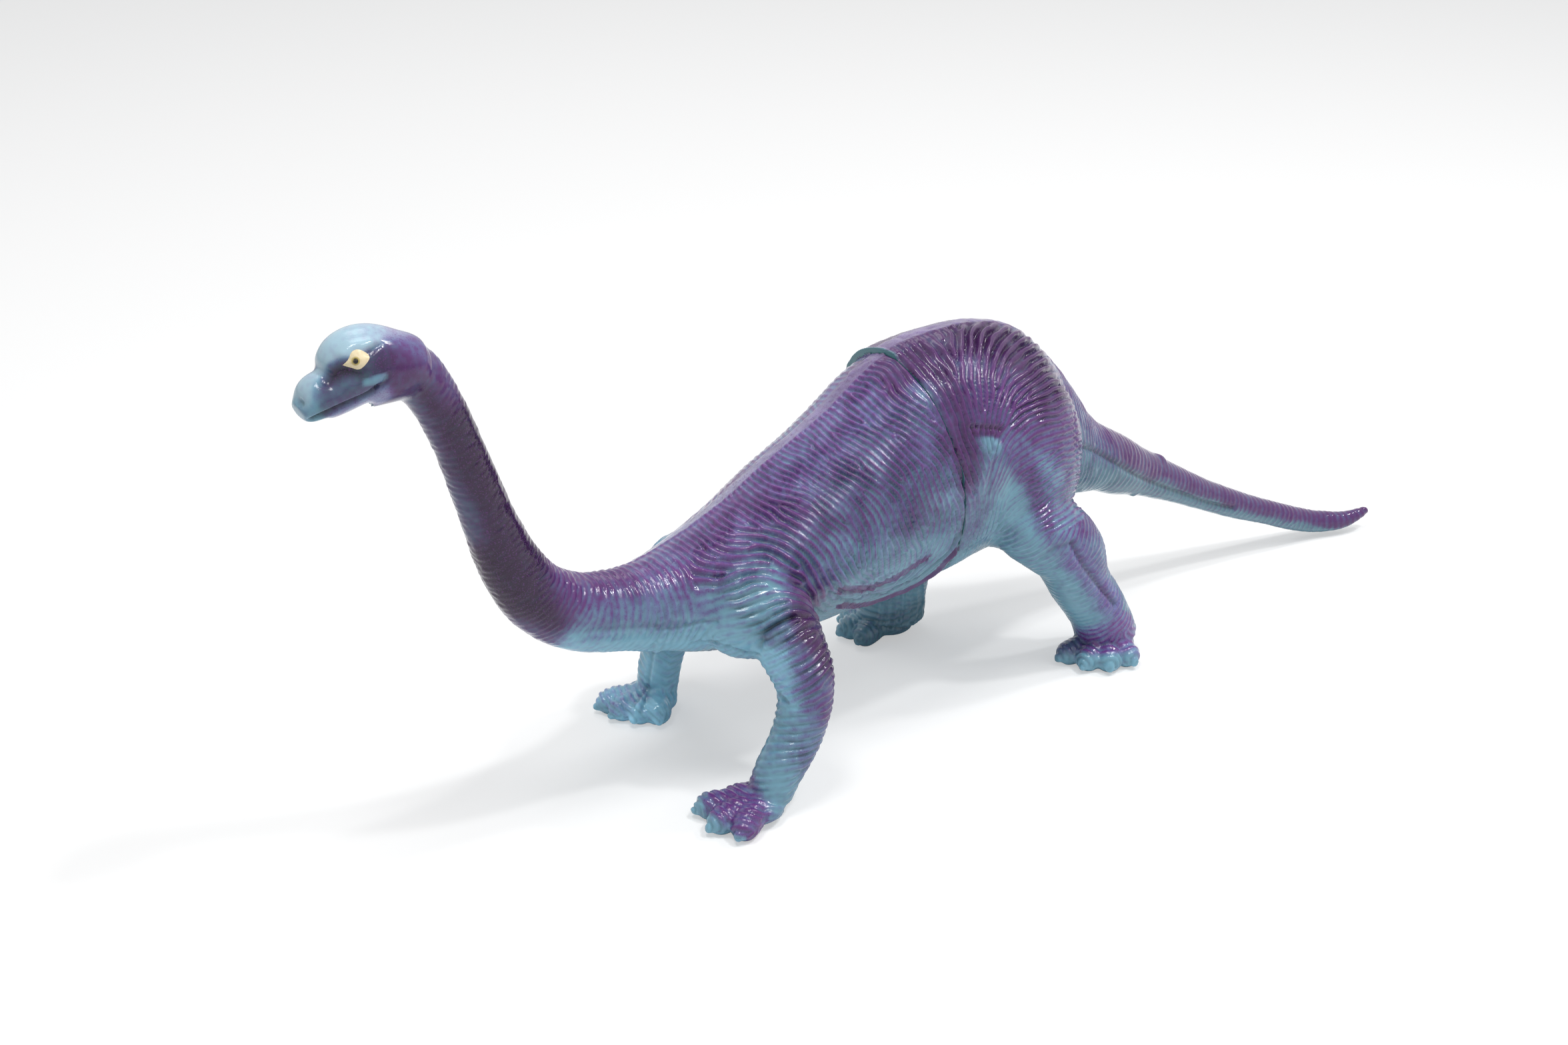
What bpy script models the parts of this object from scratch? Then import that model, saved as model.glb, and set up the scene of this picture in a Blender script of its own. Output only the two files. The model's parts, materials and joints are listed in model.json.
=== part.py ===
"""Hollow soft vinyl toy sauropod, moulded as a front shell and a rear shell that plug together at the waist.

Metres, +Z up, the head towards -X and the animal's left side towards -Y. The soles stand on z = 0 and
the origin lies under the middle of the figure's bounding box.
"""

from math import cos, pi, radians, sin, sqrt

import bmesh
import bpy
from mathutils import Matrix, Vector

# Overall sizes of the figure
FIGURE_LENGTH = 0.338
HEAD_TOP_HEIGHT = 0.133
TRUNK_WIDTH = 0.048
TRUNK_DEPTH = 0.065
TAIL_SWING = 0.014

# Head and mouth
HEAD_LENGTH = 0.0315
HEAD_WIDTH = 0.0160
HEAD_DEPTH = 0.0160
BROW_LENGTH = 0.0110
MOUTH_GAP = 0.0007
MOUTH_LENGTH = 0.0150
LIP_DEPTH = 0.0021
MOUTH_RISE = radians(22)

# Legs: a stance is the distance across between a pair of feet, a stride the distance along
FORE_STANCE = 0.053
FORE_STRIDE = 0.004
HIND_STANCE = 0.043
HIND_STRIDE = 0.040
SHOULDER_HEIGHT = 0.050
HIP_HEIGHT = 0.061
FORE_LEG_GIRTH = 0.0142
HIND_LEG_GIRTH = 0.0200
SHOULDER_LENGTH = 0.026
SHOULDER_BREADTH = 0.030
SHOULDER_SWELL = 0.020
THIGH_LENGTH = 0.054
THIGH_BREADTH = 0.046
THIGH_SWELL = 0.028

# Feet
FORE_FOOT_REACH = 0.0178
HIND_FOOT_REACH = 0.0150
FOOT_THICKNESS = 0.0090
TOE_DIAMETER = 0.0060
SOLE_DEPTH = 0.0012

# Wall and waist joint
WALL = 0.0036
SOCKET_WALL = 0.0016
FIT_GAP = 0.0003
SEAM_GAP = 0.0006
SEAM_DEPTH = 0.040
SPIGOT_LENGTH = 0.0075
RIM_STEP = 0.0010
RIM_SINK = 0.0007
RIM_WIDTH = 0.0035
WAIST_LEAN = radians(9.5)
CUT_OVERRUN = 0.200

# Fineness of the moulded skin
SURFACE_STEP = 0.0008
SMOOTH_PASSES = 12
SKIN_TRIANGLES = 7900
SECTION_SIDES = 40
LIMB_SIDES = 20
BALL_SIDES = 24
BALL_RINGS = 16
RINGS_PER_SPAN = 4

# Places along the figure, as shares of its length from the nose
WAIST_SHARE = 0.478
HIP_SHARE = 0.552
FORE_FEET_SHARE = 0.294
HIND_FEET_SHARE = 0.582
CAVITY_START_SHARE = 0.294
CAVITY_END_SHARE = 0.612
CAVITY_ROUND_SHARE = 0.045

# Middles of the shoulders' and thighs' swellings: place along the figure, outer reach as a share of the
# trunk's width, height as a share of the head top's
SHOULDER_SHARES = (0.315, 0.96, 0.345)
THIGH_SHARES = (0.558, 1.05, 0.465)

# Trunk from the tail tip to the back of the head. Each row holds the place along the figure's length,
# the height as a share of the head top's, the half width and the half depth as shares of half the
# trunk's width and depth, the sideways swing as a share of the tail's, and how upright the section
# stands, from square to the line of centres to level with the ground's normal
TRUNK_SHARES = (
    (0.994, 0.033, 0.040, 0.030, 1.00, 0.0),
    (0.980, 0.027, 0.080, 0.060, 0.95, 0.0),
    (0.962, 0.024, 0.115, 0.085, 0.82, 0.0),
    (0.929, 0.042, 0.145, 0.108, 0.54, 0.0),
    (0.884, 0.090, 0.157, 0.114, 0.36, 0.0),
    (0.843, 0.135, 0.178, 0.130, 0.22, 0.0),
    (0.804, 0.185, 0.200, 0.148, 0.12, 0.0),
    (0.771, 0.230, 0.228, 0.170, 0.05, 0.0),
    (0.733, 0.280, 0.275, 0.215, 0.00, 0.0),
    (0.704, 0.324, 0.345, 0.275, 0.00, 0.3),
    (0.676, 0.366, 0.410, 0.325, 0.00, 0.8),
    (0.655, 0.400, 0.490, 0.430, 0.00, 1.0),
    (0.635, 0.432, 0.590, 0.530, 0.00, 1.0),
    (0.611, 0.463, 0.700, 0.680, 0.00, 1.0),
    (0.584, 0.483, 0.830, 0.840, 0.00, 1.0),
    (0.546, 0.490, 0.950, 0.930, 0.00, 1.0),
    (0.502, 0.481, 1.000, 0.970, 0.00, 1.0),
    (0.457, 0.458, 1.000, 0.985, 0.00, 1.0),
    (0.413, 0.427, 0.980, 0.895, 0.00, 1.0),
    (0.363, 0.393, 0.920, 0.780, 0.00, 1.0),
    (0.327, 0.363, 0.830, 0.655, 0.00, 1.0),
    (0.289, 0.355, 0.680, 0.500, 0.00, 1.0),
    (0.256, 0.357, 0.505, 0.370, 0.00, 0.7),
    (0.229, 0.366, 0.415, 0.305, 0.00, 0.2),
    (0.192, 0.390, 0.372, 0.280, 0.00, 0.0),
    (0.163, 0.440, 0.335, 0.250, 0.00, 0.0),
    (0.145, 0.505, 0.297, 0.222, 0.00, 0.0),
    (0.131, 0.590, 0.260, 0.193, 0.00, 0.0),
    (0.120, 0.680, 0.232, 0.172, 0.00, 0.0),
    (0.109, 0.775, 0.216, 0.160, 0.00, 0.0),
    (0.098, 0.850, 0.216, 0.162, 0.00, 0.0),
    (0.083, 0.910, 0.220, 0.170, 0.00, 0.0),
)

# Head from its back to the nose. Each row holds the place along the head, the height of its middle
# line, the half width and the half depth, as shares of the head's length, depth and half sizes
HEAD_SHARES = (
    (0.020, 0.300, 0.420, 0.480),
    (0.110, 0.320, 0.780, 0.800),
    (0.260, 0.430, 0.960, 0.980),
    (0.420, 0.520, 1.000, 1.040),
    (0.550, 0.530, 0.980, 1.000),
    (0.670, 0.450, 0.880, 0.870),
    (0.750, 0.360, 0.780, 0.740),
    (0.830, 0.270, 0.680, 0.560),
    (0.910, 0.190, 0.560, 0.400),
    (0.975, 0.160, 0.380, 0.240),
)
HEAD_BACK_SHARE = 0.095
THROAT_HEIGHT_SHARE = 0.875
MOUTH_CORNER_SHARES = (0.524, 0.360)
BROW_SHARES = (0.570, 0.640, 0.720)
BROW_RADII_SHARES = (0.50, 0.26, 0.24)

# Legs from the body to the ankle. Each row holds the place along from hip to foot, the bow backwards
# as a share of the girth, the place out towards the foot, the height as a share of the hip's, and the
# thickness as a share of the girth
FORE_LEG_SHARES = (
    (0.00, 0.00, 0.25, 1.00, 1.10),
    (0.08, 0.12, 0.62, 0.90, 1.26),
    (0.22, 0.34, 0.83, 0.76, 1.22),
    (0.45, 0.60, 0.95, 0.56, 1.02),
    (0.70, 0.54, 0.99, 0.36, 1.02),
    (0.92, 0.34, 1.00, 0.20, 0.98),
    (1.00, 0.10, 1.00, 0.09, 0.80),
)
HIND_LEG_SHARES = (
    (0.00, 0.00, 0.30, 1.00, 1.45),
    (0.16, 0.01, 0.60, 0.86, 1.50),
    (0.28, 0.02, 0.82, 0.74, 1.32),
    (0.44, 0.04, 0.90, 0.59, 1.14),
    (0.70, 0.04, 0.96, 0.41, 1.02),
    (0.93, 0.04, 1.00, 0.22, 0.90),
    (1.01, 0.02, 1.00, 0.08, 0.76),
)

# Feet: toe directions across the fan and their reach as a share of the foot's, and the pad's sizes
# and place as shares of the foot's reach
TOE_SHARES = (
    (-1.50, 0.90),
    (-0.50, 1.00),
    (0.50, 1.00),
    (1.50, 0.90),
)
TOE_FAN = radians(26)
PAD_RADII_SHARES = (0.66, 0.60, 0.62)
PAD_FORWARD_SHARE = 0.16
# Toe from its root to the claw's point: place along the toe, height and thickness as shares
TOE_LINE_SHARES = (
    (0.25, 0.50, 0.90),
    (0.60, 0.48, 1.00),
    (0.82, 0.36, 0.96),
    (0.90, 0.30, 0.70),
    (0.92, 0.26, 0.52),
    (1.00, 0.16, 0.22),
)

# Each leg: name, side, fore or hind, bow of its line, its foot's shares of the stance and of the
# reach, and the heading of its foot outwards from straight ahead
LEGS = (
    ("left_fore", -1, True, 1.00, 1.04, 1.00, radians(-4)),
    ("right_fore", 1, True, 0.35, 1.03, 0.82, radians(4)),
    ("left_hind", -1, False, 1.00, 0.88, 1.04, radians(48)),
    ("right_hind", 1, False, -0.80, 1.14, 1.02, radians(-8)),
)

VINYL_TEAL = (0.19, 0.39, 0.46, 1.0)
VINYL_PURPLE = (0.17, 0.08, 0.22, 1.0)
VINYL_ROUGHNESS = 0.42
SHARP_ANGLE = radians(40)


def clear_scene():
    for item in list(bpy.data.objects):
        bpy.data.objects.remove(item, do_unlink=True)


def new_collection(name):
    collection = bpy.data.collections.new(name)
    bpy.context.scene.collection.children.link(collection)
    return collection


def vinyl(name, colour):
    material = bpy.data.materials.new(name)
    material.use_nodes = True
    shader = material.node_tree.nodes["Principled BSDF"]
    shader.inputs["Base Color"].default_value = colour
    shader.inputs["Roughness"].default_value = VINYL_ROUGHNESS
    shader.inputs["Metallic"].default_value = 0.0
    return material


def as_object(name, mesh, collection):
    data = bpy.data.meshes.new(name)
    mesh.to_mesh(data)
    mesh.free()
    item = bpy.data.objects.new(name, data)
    collection.objects.link(item)
    return item


def spline(rows, per_span):
    """Catmull-Rom curve through the rows of a table, whatever its number of columns."""
    padded = [rows[0]] + list(rows) + [rows[-1]]
    result = []
    for index in range(1, len(padded) - 2):
        span = padded[index - 1:index + 3]
        for step in range(per_span):
            t = step / per_span
            weights = (
                (-t + 2 * t * t - t ** 3) / 2,
                (2 - 5 * t * t + 3 * t ** 3) / 2,
                (t + 4 * t * t - 3 * t ** 3) / 2,
                (t ** 3 - t * t) / 2,
            )
            result.append(tuple(
                sum(weight * value for weight, value in zip(weights, values)) for values in zip(*span)
            ))
    result.append(tuple(rows[-1]))
    return result


def loft(name, centres, half_widths, half_depths, uprights, sides, collection):
    """Closed tube through elliptic sections, with flat end caps.

    A section is square to the line of centres where its uprightness is 0 and to the X axis where it is 1.
    """
    mesh = bmesh.new()
    rings = []
    last = len(centres) - 1
    for index, centre in enumerate(centres):
        tangent = (centres[min(index + 1, last)] - centres[max(index - 1, 0)]).normalized()
        tangent = tangent.lerp(Vector((-1, 0, 0)), uprights[index]).normalized()
        across = Vector((0, 1, 0))
        across = (across - tangent * across.dot(tangent)).normalized()
        upward = tangent.cross(across)
        ring = []
        for side in range(sides):
            angle = 2 * pi * side / sides
            wide = across * half_widths[index] * cos(angle)
            deep = upward * half_depths[index] * sin(angle)
            ring.append(mesh.verts.new(centre + wide + deep))
        rings.append(ring)
    for near, far in zip(rings, rings[1:]):
        for side in range(sides):
            following = (side + 1) % sides
            mesh.faces.new((near[side], near[following], far[following], far[side]))
    mesh.faces.new(list(reversed(rings[0])))
    mesh.faces.new(rings[-1])
    bmesh.ops.recalc_face_normals(mesh, faces=mesh.faces)
    return as_object(name, mesh, collection)


def ellipsoid(name, centre, radii, turn, collection):
    mesh = bmesh.new()
    placing = Matrix.Translation(centre) @ Matrix.Rotation(turn, 4, "Z") @ Matrix.Diagonal((*radii, 1))
    bmesh.ops.create_uvsphere(mesh, u_segments=BALL_SIDES, v_segments=BALL_RINGS, radius=1, matrix=placing)
    return as_object(name, mesh, collection)


def block(name, low, high, placing, collection):
    """Box between two corners, given in the frame that the placing matrix sets."""
    mesh = bmesh.new()
    middle = (low + high) / 2
    size = high - low
    matrix = placing @ Matrix.Translation(middle) @ Matrix.Diagonal((*size, 1))
    bmesh.ops.create_cube(mesh, size=1, matrix=matrix)
    return as_object(name, mesh, collection)


def trunk_line():
    """Centres, half widths, half depths and uprightness of the trunk, from the tail tip to the head."""
    centres = []
    half_widths = []
    half_depths = []
    uprights = []
    for along, up, wide, deep, swing, upright in spline(TRUNK_SHARES, RINGS_PER_SPAN):
        centres.append(Vector((along * FIGURE_LENGTH, -swing * TAIL_SWING, up * HEAD_TOP_HEIGHT)))
        half_widths.append(wide * TRUNK_WIDTH / 2)
        half_depths.append(deep * TRUNK_DEPTH / 2)
        uprights.append(upright)
    return centres, half_widths, half_depths, uprights


def trunk(name, collection):
    return loft(name, *trunk_line(), SECTION_SIDES, collection)


def rim_form(collection):
    """The trunk drawn in all round and lifted, so that it stands proud of the skin on the back alone."""
    centres, half_widths, half_depths, uprights = trunk_line()
    return loft(
        "rim_form",
        [centre + Vector((0, 0, RIM_STEP + RIM_SINK)) for centre in centres],
        [max(half_width - RIM_SINK, RIM_SINK) for half_width in half_widths],
        [max(half_depth - RIM_SINK, RIM_SINK) for half_depth in half_depths],
        uprights,
        SECTION_SIDES,
        collection,
    )


def hollow(name, inset, collection):
    """The torso drawn in by an inset, with rounded ends in the chest and in the hips."""
    centres, half_widths, half_depths, uprights = trunk_line()
    start = CAVITY_START_SHARE * FIGURE_LENGTH
    end = CAVITY_END_SHARE * FIGURE_LENGTH
    round_length = CAVITY_ROUND_SHARE * FIGURE_LENGTH
    kept = []
    for centre, half_width, half_depth, upright in zip(centres, half_widths, half_depths, uprights):
        depth_in = min(centre.x - start, end - centre.x)
        if depth_in <= 0:
            continue
        rounding = sqrt(1 - (1 - min(depth_in / round_length, 1)) ** 2)
        kept.append((centre, (half_width - inset) * rounding, (half_depth - inset) * rounding, upright))
    return loft(name, *zip(*kept), SECTION_SIDES, collection)


def head(collection):
    centres = []
    half_widths = []
    half_depths = []
    for along, up, wide, deep in spline(HEAD_SHARES, RINGS_PER_SPAN):
        centres.append(head_point(along, 0, up))
        half_widths.append(wide * HEAD_WIDTH / 2)
        half_depths.append(deep * HEAD_DEPTH / 2)
    square = [0] * len(centres)
    loft("head_form", centres, half_widths, half_depths, square, SECTION_SIDES, collection)
    along, out, up = BROW_SHARES
    radii = (
        BROW_RADII_SHARES[0] * BROW_LENGTH,
        BROW_RADII_SHARES[1] * BROW_LENGTH,
        BROW_RADII_SHARES[2] * BROW_LENGTH,
    )
    for side in (-1, 1):
        ellipsoid("brow_form", head_point(along, side * out, up), radii, 0, collection)


def head_point(along, out, up):
    """Point in the head from shares of its length, half width and depth."""
    x = HEAD_BACK_SHARE * FIGURE_LENGTH - along * HEAD_LENGTH
    z = THROAT_HEIGHT_SHARE * HEAD_TOP_HEIGHT + up * HEAD_DEPTH
    return Vector((x, out * HEAD_WIDTH / 2, z))


def foot_point(side, is_fore, stance_share):
    """Ankle point on the ground; the left feet stand off from the right feet by the stride."""
    share = FORE_FEET_SHARE if is_fore else HIND_FEET_SHARE
    stance = FORE_STANCE if is_fore else HIND_STANCE
    stride = -FORE_STRIDE if is_fore else HIND_STRIDE
    out = side * stance_share * stance / 2
    return Vector((share * FIGURE_LENGTH - side * stride / 2, out, 0))


def leg(name, foot, is_fore, bow, collection):
    shares = FORE_LEG_SHARES if is_fore else HIND_LEG_SHARES
    girth = FORE_LEG_GIRTH if is_fore else HIND_LEG_GIRTH
    height = SHOULDER_HEIGHT if is_fore else HIP_HEIGHT
    top = (SHOULDER_SHARES[0] if is_fore else HIP_SHARE) * FIGURE_LENGTH
    centres = []
    radii = []
    for along, back, out, up, thick in spline(shares, RINGS_PER_SPAN):
        x = top + along * (foot.x - top) + bow * back * girth
        centres.append(Vector((x, out * foot.y, up * height)))
        radii.append(thick * girth / 2)
    square = [0] * len(centres)
    loft(name + "_leg_form", centres, radii, radii, square, LIMB_SIDES, collection)


def foot_form(name, ankle, side, reach, heading, collection):
    """Flat footed pad with four clawed toes that fan out about the foot's heading."""
    forward = Vector((-cos(heading), side * sin(heading), 0))
    pad_centre = ankle + forward * PAD_FORWARD_SHARE * reach
    pad_centre.z = FOOT_THICKNESS / 2 - SOLE_DEPTH
    radii = (
        PAD_RADII_SHARES[0] * reach,
        PAD_RADII_SHARES[1] * reach,
        PAD_RADII_SHARES[2] * FOOT_THICKNESS,
    )
    turn = -side * heading
    ellipsoid(name + "_pad_form", pad_centre, radii, turn, collection)
    for number, (fan, toe_share) in enumerate(TOE_SHARES):
        angle = heading + fan * TOE_FAN
        direction = Vector((-cos(angle), side * sin(angle), 0))
        length = toe_share * reach
        centres = []
        widths = []
        for along, up, thick in spline(TOE_LINE_SHARES, RINGS_PER_SPAN):
            point = ankle + direction * along * length
            centres.append(point + Vector((0, 0, up * TOE_DIAMETER)))
            widths.append(thick * TOE_DIAMETER / 2)
        square = [0] * len(centres)
        toe_name = name + "_toe_form_" + str(number)
        loft(toe_name, centres, widths, widths, square, LIMB_SIDES, collection)


def muscles(name, place_shares, breadth, swell, length, collection):
    """Pair of swellings that carry the legs' outline up over the trunk."""
    radii = (breadth / 2, swell / 2, length / 2)
    along, out, up = place_shares
    for side in (-1, 1):
        y = side * (out * TRUNK_WIDTH - swell) / 2
        centre = Vector((along * FIGURE_LENGTH, y, up * HEAD_TOP_HEIGHT))
        ellipsoid(name, centre, radii, 0, collection)


def evaluated_copy(item):
    """Mesh of an object with its modifiers applied."""
    graph = bpy.context.evaluated_depsgraph_get()
    return bpy.data.meshes.new_from_object(item.evaluated_get(graph), depsgraph=graph)


def bake(item):
    """Put the modifiers' result into the object's own mesh."""
    result = evaluated_copy(item)
    item.modifiers.clear()
    item.data = result


def boolean(item, operation, cutter):
    modifier = item.modifiers.new(operation.lower(), "BOOLEAN")
    modifier.operation = operation
    modifier.solver = "EXACT"
    modifier.object = cutter
    bake(item)


def skin(name, forms, collection):
    """One blended skin round all the forms, smoothed and thinned out."""
    mesh = bmesh.new()
    for form in forms:
        mesh.from_mesh(form.data)
    body = as_object(name, mesh, collection)
    remesh = body.modifiers.new("remesh", "REMESH")
    remesh.mode = "VOXEL"
    remesh.voxel_size = SURFACE_STEP
    smooth = body.modifiers.new("smooth", "SMOOTH")
    smooth.iterations = SMOOTH_PASSES
    bake(body)
    triangle_count = sum(len(polygon.vertices) - 2 for polygon in body.data.polygons)
    thin = body.modifiers.new("thin", "DECIMATE")
    thin.ratio = SKIN_TRIANGLES / triangle_count
    bake(body)
    return body


def waist_frame():
    """Frame at the middle of the waist, X square to the seam, which leans towards the head at the back."""
    middle = Vector((WAIST_SHARE * FIGURE_LENGTH, 0, HEAD_TOP_HEIGHT / 2))
    return Matrix.Translation(middle) @ Matrix.Rotation(-WAIST_LEAN, 4, "Y")


def slab(name, start, end, depth, collection):
    """Wide block between two planes that run along the seam, down to a depth below the waist's middle."""
    low = Vector((start, -CUT_OVERRUN, -depth))
    high = Vector((end, CUT_OVERRUN, CUT_OVERRUN))
    return block(name, low, high, waist_frame(), collection)


def cut_soles(body, cutters):
    low = Vector((-CUT_OVERRUN, -CUT_OVERRUN, -CUT_OVERRUN))
    high = Vector((FIGURE_LENGTH + CUT_OVERRUN, CUT_OVERRUN, 0))
    ground = block("ground_cutter", low, high, Matrix.Identity(4), cutters)
    boolean(body, "DIFFERENCE", ground)


def cut_mouth(body, cutters):
    """Thin slot that parts the lower jaw from the head."""
    along, up = MOUTH_CORNER_SHARES
    hinge = head_point(along, 0, up)
    placing = Matrix.Translation(hinge) @ Matrix.Rotation(-MOUTH_RISE, 4, "Y")
    low = Vector((-HEAD_LENGTH, -HEAD_WIDTH, -MOUTH_GAP / 2))
    high = Vector((0, HEAD_WIDTH, MOUTH_GAP / 2))
    slot = block("mouth_cutter", low, high, placing, cutters)
    core_radii = (MOUTH_LENGTH, HEAD_WIDTH / 2 - LIP_DEPTH, HEAD_DEPTH)
    core = ellipsoid("mouth_core", hinge, core_radii, 0, cutters)
    boolean(slot, "DIFFERENCE", core)
    boolean(body, "DIFFERENCE", slot)


def part_at_waist(front, rear, cutters):
    """Trim the two skins to the seam, and give one a socket and the other a spigot collar.

    The rear skin is cut no deeper than its belly, because a hind foot steps forward under the seam.
    """
    behind = slab("front_end_cutter", -SEAM_GAP / 2, 2 * FIGURE_LENGTH, CUT_OVERRUN, cutters)
    boolean(front, "DIFFERENCE", behind)
    ahead = slab("rear_end_cutter", -2 * FIGURE_LENGTH, SEAM_GAP / 2, SEAM_DEPTH, cutters)
    boolean(rear, "DIFFERENCE", ahead)

    spigot = hollow("spigot_form", SOCKET_WALL + FIT_GAP, cutters)
    collar = slab("spigot_slab", -SPIGOT_LENGTH, SPIGOT_LENGTH, CUT_OVERRUN, cutters)
    boolean(spigot, "INTERSECT", collar)
    boolean(rear, "UNION", spigot)

    socket = hollow("socket_cutter", SOCKET_WALL, cutters)
    mouth = slab("socket_slab", -SPIGOT_LENGTH - FIT_GAP, SPIGOT_LENGTH, CUT_OVERRUN, cutters)
    boolean(socket, "INTERSECT", mouth)
    boolean(front, "DIFFERENCE", socket)

    cavity = hollow("cavity_cutter", WALL, cutters)
    boolean(front, "DIFFERENCE", cavity)
    boolean(rear, "DIFFERENCE", cavity)


def centre_on_origin(items):
    """Move the meshes so that the origin lies on the ground under the middle of the bounding box."""
    points = [vertex.co for item in items for vertex in item.data.vertices]
    x_values = [point.x for point in points]
    y_values = [point.y for point in points]
    middle = Vector(((min(x_values) + max(x_values)) / 2, (min(y_values) + max(y_values)) / 2, 0))
    for item in items:
        item.data.transform(Matrix.Translation(-middle))


def finish(item, colour):
    item.data.materials.clear()
    item.data.materials.append(vinyl(item.name + "_vinyl", colour))
    item.data.shade_smooth()
    item.data.set_sharp_from_angle(angle=SHARP_ANGLE)


def main():
    clear_scene()
    parts = new_collection("toy_sauropod")
    trunk_forms = new_collection("trunk_forms")
    fore_forms = new_collection("fore_forms")
    hind_forms = new_collection("hind_forms")
    cutters = new_collection("cutters")

    trunk("trunk_form", trunk_forms)
    head(fore_forms)
    muscles(
        "shoulder_form", SHOULDER_SHARES, SHOULDER_BREADTH, SHOULDER_SWELL, SHOULDER_LENGTH, fore_forms
    )
    muscles("thigh_form", THIGH_SHARES, THIGH_BREADTH, THIGH_SWELL, THIGH_LENGTH, hind_forms)
    rim = rim_form(hind_forms)
    boolean(rim, "INTERSECT", slab("rim_slab", -RIM_WIDTH, RIM_WIDTH, CUT_OVERRUN, cutters))
    for name, side, is_fore, bow, stance_share, reach_share, heading in LEGS:
        forms = fore_forms if is_fore else hind_forms
        ankle = foot_point(side, is_fore, stance_share)
        reach = reach_share * (FORE_FOOT_REACH if is_fore else HIND_FOOT_REACH)
        leg(name, ankle, is_fore, bow, forms)
        foot_form(name, ankle, side, reach, heading, forms)

    front = skin("front_shell", [*trunk_forms.objects, *fore_forms.objects], parts)
    rear = skin("rear_shell", [*trunk_forms.objects, *hind_forms.objects], parts)
    for forms in (trunk_forms, fore_forms, hind_forms):
        for form in list(forms.objects):
            bpy.data.objects.remove(form, do_unlink=True)
        bpy.data.collections.remove(forms)

    for shell in (front, rear):
        cut_soles(shell, cutters)
    cut_mouth(front, cutters)
    part_at_waist(front, rear, cutters)
    centre_on_origin((front, rear))
    finish(front, VINYL_TEAL)
    finish(rear, VINYL_PURPLE)
    for cutter in cutters.objects:
        cutter.hide_render = True
        cutter.display_type = "WIRE"


main()
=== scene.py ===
"""Looks of the soft vinyl toy sauropod: wrinkled skin, sprayed colours, painted eyes, floor, light and camera.

Lengths are in mm, divided by 1000 where Blender takes metres. Pixels are those of the 2352 x 1568 photograph.
"""
import json
from math import cos, pi, radians, sin

import bmesh
import bpy
import numpy as np
from bmesh.types import BMEdge, BMFace, BMVert
from mathutils import Matrix, Vector
from mathutils.bvhtree import BVHTree
from mathutils.kdtree import KDTree

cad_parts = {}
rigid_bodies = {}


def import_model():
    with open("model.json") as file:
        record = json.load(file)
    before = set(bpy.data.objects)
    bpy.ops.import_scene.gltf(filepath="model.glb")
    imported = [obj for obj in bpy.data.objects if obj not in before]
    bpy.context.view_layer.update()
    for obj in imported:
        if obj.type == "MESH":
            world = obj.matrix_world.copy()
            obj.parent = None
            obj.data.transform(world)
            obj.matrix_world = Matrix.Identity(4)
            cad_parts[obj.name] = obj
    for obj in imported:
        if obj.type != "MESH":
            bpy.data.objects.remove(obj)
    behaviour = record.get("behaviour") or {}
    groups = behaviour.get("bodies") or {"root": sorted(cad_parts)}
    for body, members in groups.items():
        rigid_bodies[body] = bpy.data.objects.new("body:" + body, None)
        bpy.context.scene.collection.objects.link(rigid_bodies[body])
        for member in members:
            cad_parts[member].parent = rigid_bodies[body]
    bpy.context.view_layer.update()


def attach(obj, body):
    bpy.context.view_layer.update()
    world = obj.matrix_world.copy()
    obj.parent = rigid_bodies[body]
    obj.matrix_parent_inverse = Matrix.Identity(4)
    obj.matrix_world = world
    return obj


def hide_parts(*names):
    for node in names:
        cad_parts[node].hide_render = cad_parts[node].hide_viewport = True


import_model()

# ---- sizes, as in the CAD
LENGTH, HEAD_TOP = 338.0, 133.0
TRUNK_WIDTH, TRUNK_DEPTH, TAIL_SWING = 48.0, 65.0, 14.0
HEAD_LENGTH, HEAD_WIDTH, HEAD_DEPTH = 31.5, 16.0, 16.0
HEAD_X, HEAD_Z = 0.095 * LENGTH, 0.875 * HEAD_TOP
MID_Y = 0.4635  # the figure's middle plane in the part's frame
MIDDLE = np.array([168.565, -MID_Y, 0.0])
WAIST_X, WAIST_LEAN = 0.478 * LENGTH, radians(9.5)
SEAM_GAP = 0.36  # finer than in the CAD, as in the photograph
# steps of the rims, inwards and forwards: both turn inwards, the rear one runs on into the front as a spigot
FRONT_RIM, REAR_RIM = ((0.3, 0.0), (1.1, 0.0)), ((0.3, 0.0), (2.7, 0.0), (0.2, 2.5), (0.2, 2.5))
VOXEL, SMOOTHING, EXTRA_PASSES = 0.43, 9, 15
JOIN_X, JOIN_HALF, JOIN_PASSES = -142.0, 6.5, 45  # where the neck runs into the head
CELL, GRID_SHIFT, GRID_SIDE = 2.0, 400, 1024
FEET_TOP = 9.5
STROKE_STEP, STROKE_SPREAD, STROKE_REACH = 7.0, 4.0, 13
BASE_WEIGHT, TAIL_WEIGHT = 0.03, 3.0  # of the skin's own folds and paint, against the strokes' and dabs' weight
DIRECTION_PASSES, PITCH_PASSES, CELL_PHASE_PASSES, SKIN_PHASE_PASSES = 10, 8, 900, 40
RELIEF = 1.9

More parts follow.
